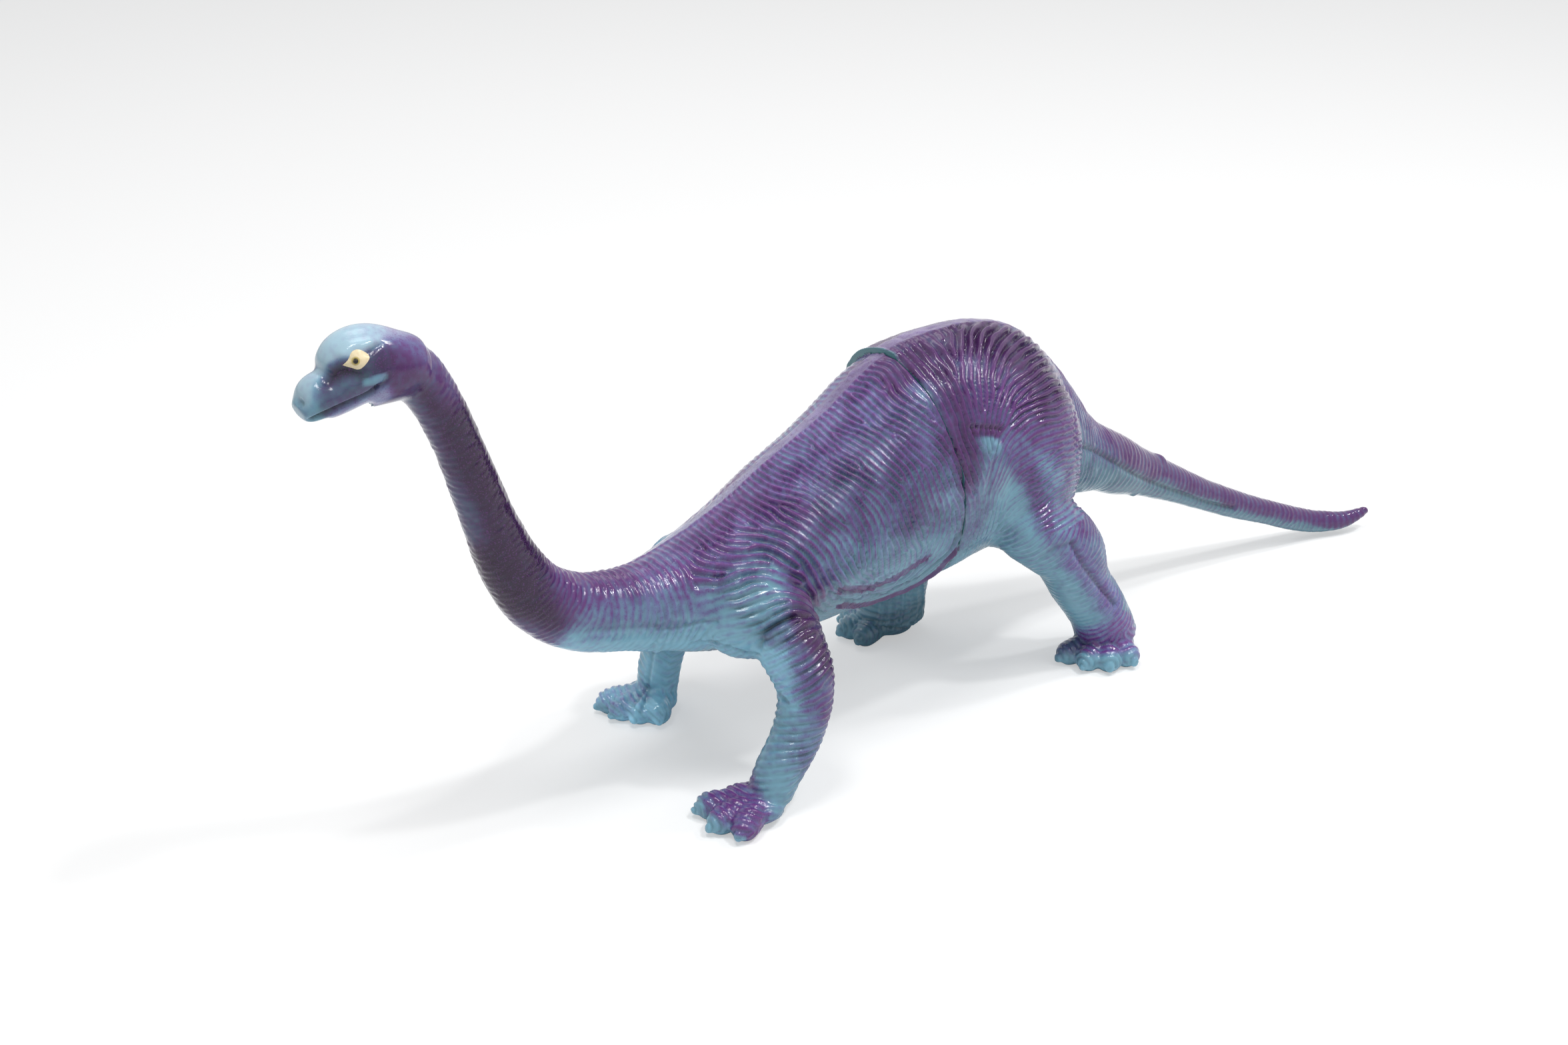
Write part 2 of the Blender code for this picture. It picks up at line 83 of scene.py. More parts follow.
# trunk and tail: along, up, width, depth, swing to the side, how upright the section is, how peaked the back is
TRUNK = (
    (0.989, 0.046, 0.04, 0.03, 1, 0, 0), (0.976, 0.038, 0.08, 0.06, 0.95, 0, 0),
    (0.96, 0.032, 0.115, 0.085, 0.82, 0, 0), (0.929, 0.043, 0.145, 0.108, 0.54, 0, 0),
    (0.884, 0.09, 0.157, 0.114, 0.36, 0, 0), (0.843, 0.135, 0.178, 0.13, 0.22, 0, 0),
    (0.804, 0.185, 0.2, 0.146, 0.12, 0, 0), (0.771, 0.23, 0.228, 0.166, 0.05, 0, 0),
    (0.733, 0.2805, 0.275, 0.21, 0, 0, 0), (0.704, 0.3185, 0.345, 0.262, 0, 0.3, 0),
    (0.676, 0.358, 0.405, 0.306, 0, 0.8, 0), (0.655, 0.391, 0.462, 0.412, 0, 1, 0),
    (0.635, 0.43, 0.562, 0.525, 0, 1, 0), (0.611, 0.463, 0.688, 0.68, 0, 1, 0),
    (0.584, 0.485, 0.83, 0.845, 0, 1, 0.06), (0.546, 0.489, 0.95, 0.96, 0, 1, 0.1), (0.502, 0.48, 1, 1, 0, 1, 0.14),
    (0.457, 0.4555, 1, 0.975, 0, 1, 0.2), (0.413, 0.4168, 0.98, 0.811, 0, 1, 0.3),
    (0.363, 0.3808, 0.92, 0.689, 0, 1, 0.36), (0.327, 0.358, 0.83, 0.575, 0, 1, 0.36),
    (0.289, 0.3495, 0.68, 0.46, 0, 1, 0.3), (0.256, 0.354, 0.505, 0.365, 0, 0.7, 0.16),
    (0.229, 0.365, 0.415, 0.305, 0, 0.2, 0.05), (0.192, 0.391, 0.372, 0.284, 0, 0, 0),
    (0.163, 0.441, 0.335, 0.256, 0, 0, 0), (0.1455, 0.505, 0.3, 0.228, 0, 0, 0),
    (0.1315, 0.59, 0.264, 0.199, 0, 0, 0), (0.1205, 0.68, 0.238, 0.176, 0, 0, 0),
    (0.1084, 0.775, 0.224, 0.167, 0, 0, 0), (0.0958, 0.852, 0.224, 0.173, 0, 0, 0),
    (0.081, 0.91, 0.23, 0.19, 0, 0, 0), (0.06, 0.938, 0.23, 0.18, 0, 0, 0),
)
# head: along, up, width, depth; the spine takes it up from row HEAD_FROM of its spline on
HEAD = (
    (0.022, 0.287, 0.4, 0.415), (0.11, 0.303, 0.76, 0.725), (0.185, 0.375, 0.87, 0.89), (0.26, 0.42, 0.96, 0.95),
    (0.42, 0.5, 1, 1.09), (0.535, 0.516, 0.98, 1.107), (0.61, 0.446, 0.89, 1.015), (0.674, 0.346, 0.8, 0.767),
    (0.737, 0.284, 0.74, 0.643), (0.83, 0.245, 0.67, 0.61), (0.91, 0.15, 0.58, 0.4), (0.965, 0.11, 0.4, 0.24),
)
HEAD_FROM = 6
# legs: along, back, out, up, thickness
FORE_LEG = (
    (0, 0, 0.25, 1, 1.1), (0.08, 0.12, 0.62, 0.9, 1.26), (0.22, 0.32, 0.83, 0.76, 1.17),
    (0.45, 0.55, 0.95, 0.56, 0.97), (0.7, 0.47, 0.99, 0.36, 0.87), (0.92, 0.22, 1, 0.2, 0.82),
    (1, 0.1, 1, 0.09, 0.78),
)
HIND_LEG = (
    (0, 0, 0.3, 1, 1.4), (0.16, -0.12, 0.6, 0.86, 1.18), (0.28, -0.28, 0.82, 0.74, 0.97),
    (0.38, -0.06, 0.88, 0.65, 1.04), (0.47, 0.06, 0.92, 0.56, 0.99), (0.66, -0.04, 0.96, 0.41, 0.83),
    (0.88, 0, 1, 0.22, 0.8), (1, 0, 1, 0.08, 0.84),
)
# toe: along, up, thickness; claw likewise
TOE = (
    (0.15, 0.6, 0.9), (0.45, 0.56, 1.04), (0.68, 0.5, 1.08), (0.84, 0.46, 1), (0.93, 0.42, 0.74), (0.97, 0.4, 0.4),
)
CLAW = (
    (0.72, 0.74, 0.26), (0.84, 0.64, 0.4), (0.95, 0.44, 0.42), (1.01, 0.26, 0.32), (1.03, 0.18, 0.14),
)
TOE_UP, TOE_THICK, CLAW_AT, CLAW_Z = 6.0, 3.3, 0.98, 1.6
PAD_Z, PAD_WIDE, PAD_THICK = 3.3, 0.55, 3.5
# kind of leg: rows, stance, stride, feet and top along the length, girth, height, the pad's place and half length,
# height up to which its skin is the leg's, height up to which that holds far from its middle line too
FORE_PLAN = (FORE_LEG, 53.0, -4.0, 0.294, 0.315, 14.2, 50.0, 0.18, 0.50, 44, 24)
HIND_PLAN = (HIND_LEG, 43.0, 40.0, 0.582, 0.552, 20.0, 61.0, 0.10, 0.56, 46, 26)
# leg: side, kind, bow, stance, girth, shift of the foot, toes as direction in degrees and length
LEGS = (
    ("left_fore", -1, FORE_PLAN, 1.0, 1.11, 1.0, -0.8, ((-30, 15.2), (-1, 16.6), (29, 16.7), (48, 9.6))),
    ("right_fore", 1, FORE_PLAN, 0.35, 1.06, 0.92, 2.4, ((20, 15.6), (-3, 14.2), (-30, 12.6), (-60, 12.2))),
    ("left_hind", -1, HIND_PLAN, 1.0, 1.0, 1.0, 0.8, ((-84, 12.4), (-50, 13.8), (-22, 15.0), (6, 16.2))),
    ("right_hind", 1, HIND_PLAN, -0.8, 1.08, 1.12, 1.8, ((-14, 14.7), (14, 15.5), (42, 14.0), (68, 12.0))),
)
FAR_LEGS = (2, 4)  # the right ones, as labels of the skin
# muscle over each leg: along, out, up, breadth, swell, length, tilt in degrees
MUSCLES = (
    (0.315, 0.96, 0.345, 30.0, 20.0, 26.0, 0), (0.315, 0.96, 0.295, 26.0, 15.0, 20.0, 0),
    (0.558, 1.05, 0.470, 42.0, 28.0, 54.0, -16), (0.558, 1.05, 0.470, 42.0, 28.0, 54.0, -16),
)


# ---- camera of the photograph
CAMERA_AT = Vector((-0.33164, -0.38244, 0.29108))
CAMERA_TURN = (radians(64), 0, radians(-36.9))
FOCAL, PICTURE_X, PICTURE_Y = 3267.0, 1176, 784  # in pixels: focal length and the picture's middle
scene = bpy.context.scene


def add_item(name, data, collection=scene.collection):
    item = bpy.data.objects.new(name, data)
    collection.objects.link(item)
    return item


camera_data = bpy.data.cameras.new("camera")
camera_data.lens = 50.0
camera_data.sensor_width = 36.0
camera_data.clip_start = 0.01
camera = add_item("camera", camera_data)
camera.location = CAMERA_AT
camera.rotation_euler = CAMERA_TURN
scene.camera = camera
view_turn = Matrix.LocRotScale(CAMERA_AT, camera.rotation_euler, None).to_3x3()


def look(tree, px, py):
    """Point and normal of a surface that a pixel of the photograph looks at."""
    ray = view_turn @ Vector(((px - PICTURE_X) / FOCAL, (PICTURE_Y - py) / FOCAL, -1))
    return tree.ray_cast(CAMERA_AT, ray.normalized())[:2]


# ---- forms
forms = bpy.data.collections.new("forms")
scene.collection.children.link(forms)


def spline(rows, per_span=4):
    """Rows with smooth steps between them."""
    rows = np.array(rows, float)
    padded = np.vstack((rows[:1], rows, rows[-1:]))
    result = []
    for i in range(1, len(padded) - 2):
        a, b, c, d = padded[i - 1:i + 3]
        for step in range(per_span):
            t = step / per_span
            result.append(b + 0.5 * t * (c - a + t * (2 * a - 5 * b + 4 * c - d + t * (3 * (b - c) + d - a))))
    result.append(rows[-1])
    return np.array(result)


def mesh_item(name, mesh, collection=scene.collection):
    data = bpy.data.meshes.new(name)
    mesh.to_mesh(data)
    mesh.free()
    return add_item(name, data, collection)


def loft(name, centres, wide, deep, upright=None, sides=40, peaks=None):
    """Closed tube through elliptic sections."""
    mesh = bmesh.new()
    rings = []
    last = len(centres) - 1
    centres = [Vector(c) for c in centres]
    for i, centre in enumerate(centres):
        tangent = (centres[min(i + 1, last)] - centres[max(i - 1, 0)]).normalized()
        if upright is not None:
            tangent = tangent.lerp(Vector((-1, 0, 0)), float(upright[i])).normalized()
        across = Vector((0, 1, 0))
        across = (across - tangent * across.dot(tangent)).normalized()
        up = tangent.cross(across)
        ring = []
        for k in range(sides):
            angle = 2 * pi * k / sides
            half = float(wide[i]) * cos(angle)
            if peaks is not None:
                half *= 1 - float(peaks[i]) * max(sin(angle), 0)
            point = centre + across * half + up * (float(deep[i]) * sin(angle))
            ring.append(mesh.verts.new(point / 1000))
        rings.append(ring)
    for near, far in zip(rings, rings[1:]):
        for k in range(sides):
            n = (k + 1) % sides
            mesh.faces.new((near[k], near[n], far[n], far[k]))
    mesh.faces.new(list(reversed(rings[0])))
    mesh.faces.new(rings[-1])
    bmesh.ops.recalc_face_normals(mesh, faces=mesh.faces)
    return mesh_item(name, mesh, forms)


def ball(name, centre, radii, turn=0.0, tilt=0.0):
    mesh = bmesh.new()
    place = (Matrix.Translation(Vector(centre) / 1000) @ Matrix.Rotation(turn, 4, "Z")
             @ Matrix.Rotation(tilt, 4, "Y") @ Matrix.Diagonal((*(Vector(radii) / 1000), 1)))
    bmesh.ops.create_uvsphere(mesh, u_segments=28, v_segments=20, radius=1, matrix=place)
    return mesh_item(name, mesh, forms)


along, up, wide, deep, swing, upright, peaks = spline(TRUNK).T
trunk_line = np.stack((along * LENGTH, -swing * TAIL_SWING, up * HEAD_TOP), 1) - MIDDLE
trunk_wide, trunk_deep, trunk_upright = wide * TRUNK_WIDTH / 2, deep * TRUNK_DEPTH / 2, upright
loft("trunk", trunk_line, trunk_wide, trunk_deep, upright, 64, peaks)

along, up, wide, deep = spline(HEAD).T
head_line = np.stack((HEAD_X - along * HEAD_LENGTH, 0 * along, HEAD_Z + up * HEAD_DEPTH), 1) - MIDDLE
head_wide, head_deep = wide * HEAD_WIDTH / 2, deep * HEAD_DEPTH / 2
loft("head", head_line, head_wide, head_deep, None, 48)

leg_lines, leg_radii, claws = [], [], []
for (name, side, plan, bow, stance_share, girth_share, shift, toes), muscle in zip(LEGS, MUSCLES):
    rows, stance, stride, feet, top, girth, height, pad_at, pad_half, *_ = plan
    foot = np.array([feet * LENGTH - side * stride / 2 + shift, side * stance_share * stance / 2, 0.0])
    along, back, out, up, thick = spline(rows).T
    top *= LENGTH
    line = np.stack((top + along * (foot[0] - top) + bow * back * girth, out * foot[1], up * height), 1) - MIDDLE
    radii = thick * girth_share * girth / 2
    loft(name + "_leg", line, radii, radii, None, 28)
    leg_lines.append(line)
    leg_radii.append(radii)
    ankle = foot - MIDDLE
    turn = radians(sum(angle for angle, _ in toes) / len(toes))
    reach = sum(length for _, length in toes) / len(toes)
    pad = ankle + np.array([-cos(turn), sin(turn), 0.0]) * pad_at * reach
    ball(name + "_pad", (pad[0], pad[1], PAD_Z), (pad_half * reach, PAD_WIDE * reach, PAD_THICK), -turn)
    for angle, length in toes:
        direction = np.array([-cos(radians(angle)), sin(radians(angle)), 0.0])
        for rows in (TOE, CLAW):
            along, up, thick = spline(rows).T
            centres = ankle + direction * along[:, None] * length + np.array([0, 0, TOE_UP]) * up[:, None]
            loft(name + "_toe", centres, thick * TOE_THICK, thick * TOE_THICK, None, 20)
        tip = ankle + direction * CLAW_AT * length
        claws.append((*tip[:2], CLAW_Z))
    along, out, up, breadth, swell, length, tilt = muscle
    centre = np.array([along * LENGTH, side * (out * TRUNK_WIDTH - swell) / 2, up * HEAD_TOP]) - MIDDLE
    ball(name + "_muscle", centre, (breadth / 2, swell / 2, length / 2), 0.0, radians(tilt))

# ---- one skin round the forms
mesh = bmesh.new()
for form in list(forms.objects):
    mesh.from_mesh(form.data)
    bpy.data.objects.remove(form, do_unlink=True)
body = mesh_item("body", mesh, forms)
remesh = body.modifiers.new("remesh", "REMESH")
remesh.mode = "VOXEL"
remesh.voxel_size = VOXEL / 1000
body.modifiers.new("smooth", "SMOOTH").iterations = SMOOTHING
bpy.context.view_layer.update()
skin = bpy.data.meshes.new_from_object(body.evaluated_get(bpy.context.evaluated_depsgraph_get()))
bpy.data.objects.remove(body, do_unlink=True)
bpy.data.collections.remove(forms)


def read(items, key, per_item, width, kind):
    """Numbers of a mesh, in rows."""
    values = np.empty(len(items) * per_item, kind)
    items.foreach_get(key, values)
    return values.reshape(-1, width)


P = read(skin.vertices, "co", 3, 3, np.float32).astype(float) * 1000
edges = read(skin.edges, "vertices", 2, 2, np.int32)
faces = read(skin.loops, "vertex_index", 1, 4, np.int32)
count = len(P)


def squared(points, centre):
    return ((points - centre) ** 2).sum(1)


def unit(rows, guard=0.0):
    return rows / (np.linalg.norm(rows, axis=1, keepdims=True) + guard)


def ramp(x, low, high):
    t = np.clip((x - low) / (high - low), 0, 1)
    return t * t * (3 - 2 * t)


def bell(x, width):
    return np.exp(-(x / width) ** 2)


def normals_of(points):
    a, b, c, d = (points[faces[:, k]] for k in range(4))
    face = np.cross(c - a, d - b)
    total = np.zeros_like(points)
    for axis in range(3):
        for k in range(4):
            total[:, axis] += np.bincount(faces[:, k], face[:, axis], len(points))
    return unit(total, 1e-12)


# neighbours of each vertex, padded with the vertex itself
ends = np.concatenate((edges, edges[:, ::-1]))
ends = ends[np.argsort(ends[:, 0], kind="stable")]
starts = np.searchsorted(ends[:, 0], np.arange(count))
rank = np.arange(len(ends)) - starts[ends[:, 0]]
DEGREE = 6
NB = np.tile(np.arange(count)[:, None], (1, DEGREE))
keep = rank < DEGREE
NB[ends[keep, 0], rank[keep]] = ends[keep, 1]
one_end, other_end = ends.T


def spread(values, passes):
    """Average over neighbours, a few times."""
    for _ in range(passes):
        total = values.copy()
        for k in range(DEGREE):
            total += values[NB[:, k]]
        values = total / (DEGREE + 1)
    return values


# broad forms are smoothed further than the face and the toes, and the neck's join with the head once more
X, Z = P[:, 0], P[:, 2]
broad = np.where(Z < 100, np.clip((Z - 8) / 6, 0, 1), np.clip((X + 156) / 12, 0.3, 1))
P = P + (spread(P, EXTRA_PASSES) - P) * broad[:, None]
join = bell(P[:, 0] - JOIN_X, JOIN_HALF) * (P[:, 2] > 100)
P = P + (spread(P, JOIN_PASSES) - P) * join[:, None]
N = normals_of(P)
X, Y, Z = P.T
NX, NY, NZ = N.T


# ---- smooth deterministic noise
TABLE_SIZE, NOISE_SHIFT = 32768, 500.0
PRIMES = (73856093, 19349663, 83492791)


def noise(points, scale, seed):
    """Value noise from -1 to 1 on points."""
    table = np.random.default_rng(seed).random(TABLE_SIZE) * 2 - 1
    q = points / scale + NOISE_SHIFT
    low = np.floor(q).astype(np.int64)
    f = q - low
    f = f * f * (3 - 2 * f)
    total = 0
    for corner in np.ndindex(2, 2, 2):
        x, y, z = ((low + corner) * PRIMES).T
        key = (x ^ y ^ z) & (TABLE_SIZE - 1)
        total = total + table[key] * np.where(corner, f, 1 - f).prod(1)
    return total


# ---- cells: a coarse copy of the skin
keys = np.floor(P / CELL).astype(np.int64) + GRID_SHIFT
keys = (keys[:, 0] * GRID_SIDE + keys[:, 1]) * GRID_SIDE + keys[:, 2]
# thin features keep their two sides apart
keys = keys * 8 + (NX > 0) * 4 + (NY > 0) * 2 + (NZ > 0)
cell_keys, cell_of = np.unique(keys, return_inverse=True)
cells = len(cell_keys)


def cell_sums(rows):
    return np.stack([np.bincount(cell_of, column, cells) for column in rows.T], 1)


C = cell_sums(P) / np.bincount(cell_of, minlength=cells)[:, None]
CN = unit(cell_sums(N), 1e-9)


def nearest_on(line, points):
    best = np.full(len(points), 1e9)
    index = np.zeros(len(points), int)
    for i, centre in enumerate(line):
        distance = squared(points, centre)
        closer = distance < best
        best[closer] = distance[closer]
        index[closer] = i
    return index, np.sqrt(best)


def tangents_of(line):
    return unit(np.gradient(line, axis=0))


upright = trunk_upright[:, None]
trunk_tangent = unit(tangents_of(trunk_line) * (1 - upright) + np.array([-1.0, 0, 0]) * upright)
whole_line = np.vstack((trunk_line, head_line[HEAD_FROM:]))
whole_wide = np.concatenate((trunk_wide, head_wide[HEAD_FROM:]))
whole_deep = np.concatenate((trunk_deep, head_deep[HEAD_FROM:]))
spine_index, _ = nearest_on(whole_line, C)
offset = C - whole_line[spine_index]
best_ratio = np.sqrt((offset[:, 1] / whole_wide[spine_index]) ** 2
                     + ((offset[:, 0] ** 2 + offset[:, 2] ** 2) / whole_deep[spine_index] ** 2))
axis_dir = np.vstack((trunk_tangent, tangents_of(head_line)[HEAD_FROM:]))[spine_index]
# label: 0 on the trunk, 1 to 4 on the legs
label = np.zeros(cells, int)
for k, (line, radii) in enumerate(zip(leg_lines, leg_radii)):
    index, distance = nearest_on(line, C)
    ratio = distance / radii[index]
    top, low_top = LEGS[k][2][-2:]
    inside = (ratio < best_ratio * 0.98) & (C[:, 2] < top)
    inside |= (C[:, 2] < low_top) & (distance < 26) & (ratio < best_ratio * 1.6) & (C[:, 0] < 75)
    inside &= index > 3
    label[inside] = k + 1
    best_ratio[inside] = ratio[inside]
    axis_dir[inside] = tangents_of(line)[index[inside]]
on_feet = (label > 0) & (C[:, 2] < FEET_TOP)
for k, line in enumerate(leg_lines):
    out = C - line[-1]
    out[:, 2] = 0
    reach = np.linalg.norm(out, axis=1)
    on_toes = (label == k + 1) & on_feet & (reach > 5)
    axis_dir[on_toes] = out[on_toes] / reach[on_toes, None]
is_head = (label == 0) & (C[:, 0] < -140) & (C[:, 2] > 112)

cell_tree = KDTree(cells)
for i in range(cells):
    cell_tree.insert(C[i], i)
cell_tree.balance()
tree = BVHTree.FromPolygons((P / 1000).tolist(), faces.tolist())


def labels_at(points):
    return np.array([label[cell_tree.find(p)[1]] for p in points], int)


def trace(pixels, step=STROKE_STEP):
    """Points of the skin under a smooth line through some pixels, given as x, y, x, y and so on."""
    line = spline(np.reshape(pixels, (-1, 2)), 12)
    lengths = np.concatenate(([0], np.cumsum(np.linalg.norm(np.diff(line, axis=0), axis=1))))
    at = np.linspace(0, lengths[-1], max(int(lengths[-1] / step), 1) + 1)
    hits = [look(tree, *s)[0] for s in zip(*(np.interp(at, lengths, column) for column in line.T))]
    return np.array([np.array(h) * 1000 for h in hits if h is not None])


FLIP, ACROSS = np.array([1, -1, 1]), np.array([0, 2 * MID_Y, 0])


def mirrored(points, directions, labels):
    """The same strokes on the far side: across the middle plane, and from a near leg to its fellow."""
    out = points * FLIP + ACROSS
    far = labels.copy()
    for near_k, far_k in ((0, 1), (2, 3)):
        on = labels == near_k + 1
        if on.any():
            index, _ = nearest_on(leg_lines[near_k], points[on])
            offset = points[on] - leg_lines[near_k][index]
            out[on] = leg_lines[far_k][index] + offset * FLIP
            far[on] = far_k + 1
    return out, directions * FLIP, far


# ---- strokes along the wrinkles
# each row: pitch in mm, from and to where it changes, height in mm, strokes of pixels as x, y, x, y and so on
STROKES = (
    # rib folds on the flank
    (1.9, 0.34, (1163, 657, 1220, 673, 1280, 697, 1320, 727, 1347, 763, 1360, 807, 1363, 847, 1353, 870), (1190, 627,
      1247, 647, 1307, 673, 1353, 707, 1387, 750, 1400, 793, 1400, 820, 1390, 847)),
    (1.9, 0.32, (1253, 587, 1293, 610, 1340, 640, 1380, 673, 1413, 713, 1430, 753, 1433, 793, 1430, 810)),
    (1.8, 0.3, (1287, 573, 1313, 597, 1353, 627, 1393, 653, 1427, 687)),
    (1.9, 0.34, (1133, 707, 1190, 717, 1240, 743, 1273, 780, 1293, 820, 1300, 860, 1297, 877)),
    (2, 0.34, (1110, 753, 1163, 760, 1207, 777, 1237, 807, 1257, 840, 1267, 870, 1280, 883)),
    (2.1, 0.36, (1092, 780, 1120, 793, 1167, 797, 1207, 810, 1230, 837, 1250, 867, 1267, 887)),
    (2.3, 0.4, (1100, 795, 1123, 810, 1180, 817, 1213, 833, 1233, 863, 1253, 893)),
    (2.5, 0.42, (1113, 827, 1163, 830, 1197, 843, 1220, 870, 1240, 900), (1113, 853, 1153, 850, 1190, 860, 1213, 883,
      1227, 913), (1117, 883, 1153, 877, 1187, 880, 1213, 900, 1230, 927)),
    (2.4, 0.4, (1120, 910, 1153, 897, 1187, 897, 1213, 913)),
    # folds that run along the belly
    (1.8, 0.34, (1253, 903, 1280, 890, 1313, 887, 1347, 877, 1373, 857, 1407, 833, 1433, 803), (1260, 915, 1293, 905,
      1327, 897, 1360, 880, 1393, 860, 1427, 830, 1440, 810)),
    # short folds under the dorsal strip
    (1.5, 0.3, (1060, 765, 1085, 770, 1110, 775), (1090, 735, 1115, 742, 1145, 748), (1125, 705, 1150, 712, 1180,
      722), (1160, 672, 1180, 677, 1205, 690)),
    (1.6, 0.32, (1195, 640, 1212, 650, 1240, 665)), (1.7, 0.34, (1225, 612, 1240, 628, 1265, 645)),
    (2, 0.38, (1267, 580, 1280, 603, 1310, 630, 1347, 650, 1380, 673)),
    (2.1, 0.4, (1293, 567, 1300, 590, 1320, 613, 1353, 633), (1318, 553, 1327, 573, 1340, 597, 1367, 617)),
    # folds beside the seam on the hips
    ((2.8, 2), 0.36, (1357, 527, 1383, 557, 1410, 590, 1433, 623, 1447, 653, 1460, 687)),
    ((3, 1.9), 0.38, (1383, 510, 1407, 543, 1427, 577, 1440, 607, 1453, 637)),
    ((3.3, 1.6), 0.42, (1413, 497, 1427, 523, 1440, 557, 1450, 590, 1457, 620, 1460, 637)),
    ((3.5, 1.5), 0.44, (1447, 490, 1447, 520, 1453, 553, 1462, 587, 1467, 613, 1470, 633), (1487, 486, 1473, 510,
      1467, 543, 1470, 577, 1473, 610, 1475, 637)),
    ((3.2, 1.5), 0.44, (1517, 493, 1493, 520, 1480, 550, 1478, 583, 1480, 613, 1482, 637)),
    ((3, 1.5), 0.42, (1540, 510, 1513, 530, 1497, 557, 1490, 587, 1488, 613, 1488, 633)),
    ((2.7, 1.5), 0.38, (1560, 533, 1537, 550, 1517, 570, 1503, 597, 1498, 620, 1495, 637)),
    ((2.3, 1.6), 0.32, (1577, 560, 1553, 573, 1533, 590, 1517, 613, 1507, 637)),
    (2, 0.26, (1590, 593, 1567, 603, 1543, 617, 1523, 637, 1512, 657)),
    (1.9, 0.2, (1602, 627, 1577, 633, 1553, 643, 1530, 660, 1517, 673)),
    (1.8, 0.18, (1603, 660, 1580, 670, 1557, 680, 1537, 693)),
    (1.8, 0.17, (1605, 700, 1583, 708, 1560, 720, 1540, 733)),
    (1.8, 0.16, (1607, 740, 1587, 750, 1567, 760, 1550, 770), (1608, 780, 1593, 788, 1577, 797, 1560, 810)),
    (1.7, 0.16, (1520, 700, 1510, 715, 1503, 735), (1545, 770, 1530, 790, 1520, 800)),
    (1.6, 0.14, (1480, 760, 1477, 790, 1472, 815)),
    # near fore leg
    (2.3, 0.4, (1153, 971, 1177, 953, 1203, 935, 1227, 924), (1159, 988, 1186, 971, 1215, 953, 1239, 941), (1165,
      1006, 1192, 991, 1221, 974, 1245, 959)),
    (2.3, 0.38, (1171, 1021, 1198, 1009, 1224, 991, 1248, 979)),
    (2.3, 0.36, (1180, 1038, 1203, 1029, 1227, 1015, 1250, 1000), (1203, 1059, 1224, 1047, 1250, 1032)),
    (2.2, 0.38, (1165, 1076, 1198, 1076, 1239, 1076), (1154, 1106, 1192, 1106, 1233, 1103)),
    (2.2, 0.36, (1142, 1132, 1180, 1132, 1221, 1126)), (2.2, 0.34, (1130, 1159, 1168, 1162, 1203, 1153)),
    (2.1, 0.3, (1121, 1179, 1150, 1188, 1186, 1182)),
)

samples = []
for pitch, height, *strokes in STROKES:
    for pixels in strokes:
        hits = trace(pixels)
        if len(hits) < 2:
            continue
        step = np.diff(hits, axis=0)
        size = np.linalg.norm(step, axis=1)
        fine = (size < 8) & (size > 1e-6)
        points = ((hits[1:] + hits[:-1]) / 2)[fine]
        pitches = np.linspace(*np.broadcast_to(pitch, 2), len(step))[fine]
        samples += zip(points, step[fine] / size[fine][:, None], pitches, [height] * len(points), labels_at(points))
points, directions, pitches, heights, labels = (np.array(column) for column in zip(*samples))
far_points, far_directions, far_labels = mirrored(points, directions, labels)
points, directions = np.vstack((points, far_points)), np.vstack((directions, far_directions))
labels = np.concatenate((labels, far_labels))
pitches, heights = np.tile(pitches, 2), np.tile(heights, 2) * np.where(labels > 0, 0.55, 1.0)

# default: rings round the spine and the legs
ring = unit(np.cross(CN, axis_dir), 1e-6)
base_pitch = np.select([on_feet, label > 0, C[:, 0] > 55, C[:, 0] < -105], [1.9, 1.8, 2.2, 1.7], 2.1)
base_height = np.select([is_head, on_feet, label > 0, C[:, 0] > 62, C[:, 0] < -118, C[:, 0] < -100],
                        [0.0, 0.15, 0.08, 0.04, 0.035, 0.09], 0.19)
weight = np.full(cells, BASE_WEIGHT)
tensor = ring[:, :, None] * ring[:, None, :] * weight[:, None, None]
pitch = base_pitch * weight
height = base_height * weight
for p, d, wl, a, l in zip(points, directions, pitches, heights, labels):
    idx = np.nonzero((np.abs(C - p).max(1) < STROKE_REACH) & (label == l))[0]
    w = np.exp(-squared(C[idx], p) / (2 * STROKE_SPREAD ** 2))
    tensor[idx] += w[:, None, None] * np.outer(d, d)
    pitch[idx] += w * wl
    height[idx] += w * a
    weight[idx] += w
pitch /= weight
height /= weight
tensor /= weight[:, None, None]


def to_skin(values, passes):
    return spread(values[cell_of].astype(np.float32), passes).astype(float)


# the wrinkles run where the tensor is longest in the skin's plane
flat = np.eye(3) - N[:, :, None] * N[:, None, :]
stripe = np.linalg.eigh(flat @ to_skin(tensor, DIRECTION_PASSES) @ flat)[1][:, :, 2]
wobble = 0.26 * noise(P, 7.0, 3) + 0.22 * noise(P, 3.5, 4)
across = np.cross(N, stripe)
across = across * np.cos(wobble)[:, None] + stripe * np.sin(wobble)[:, None]
pitch = np.maximum(to_skin(pitch, PITCH_PASSES) * 0.88, 1.55) * (1 + 0.10 * noise(P, 14.0, 5))
height = to_skin(height, PITCH_PASSES)
G = across * (2 * pi / pitch)[:, None]


# ---- phase of the wrinkles
def turns(a, b, grad, points):
    """How the phase at b foretells the phase at a, from the wrinkles' direction and pitch."""
    sign = np.where((grad[a] * grad[b]).sum(1) < 0, -1.0, 1.0)
    return sign, np.exp(0.5j * ((grad[a] + sign[:, None] * grad[b]) * (points[a] - points[b])).sum(1))


def foretold(phase, sign, turn):
    return np.where(sign > 0, phase, np.conj(phase)) * turn


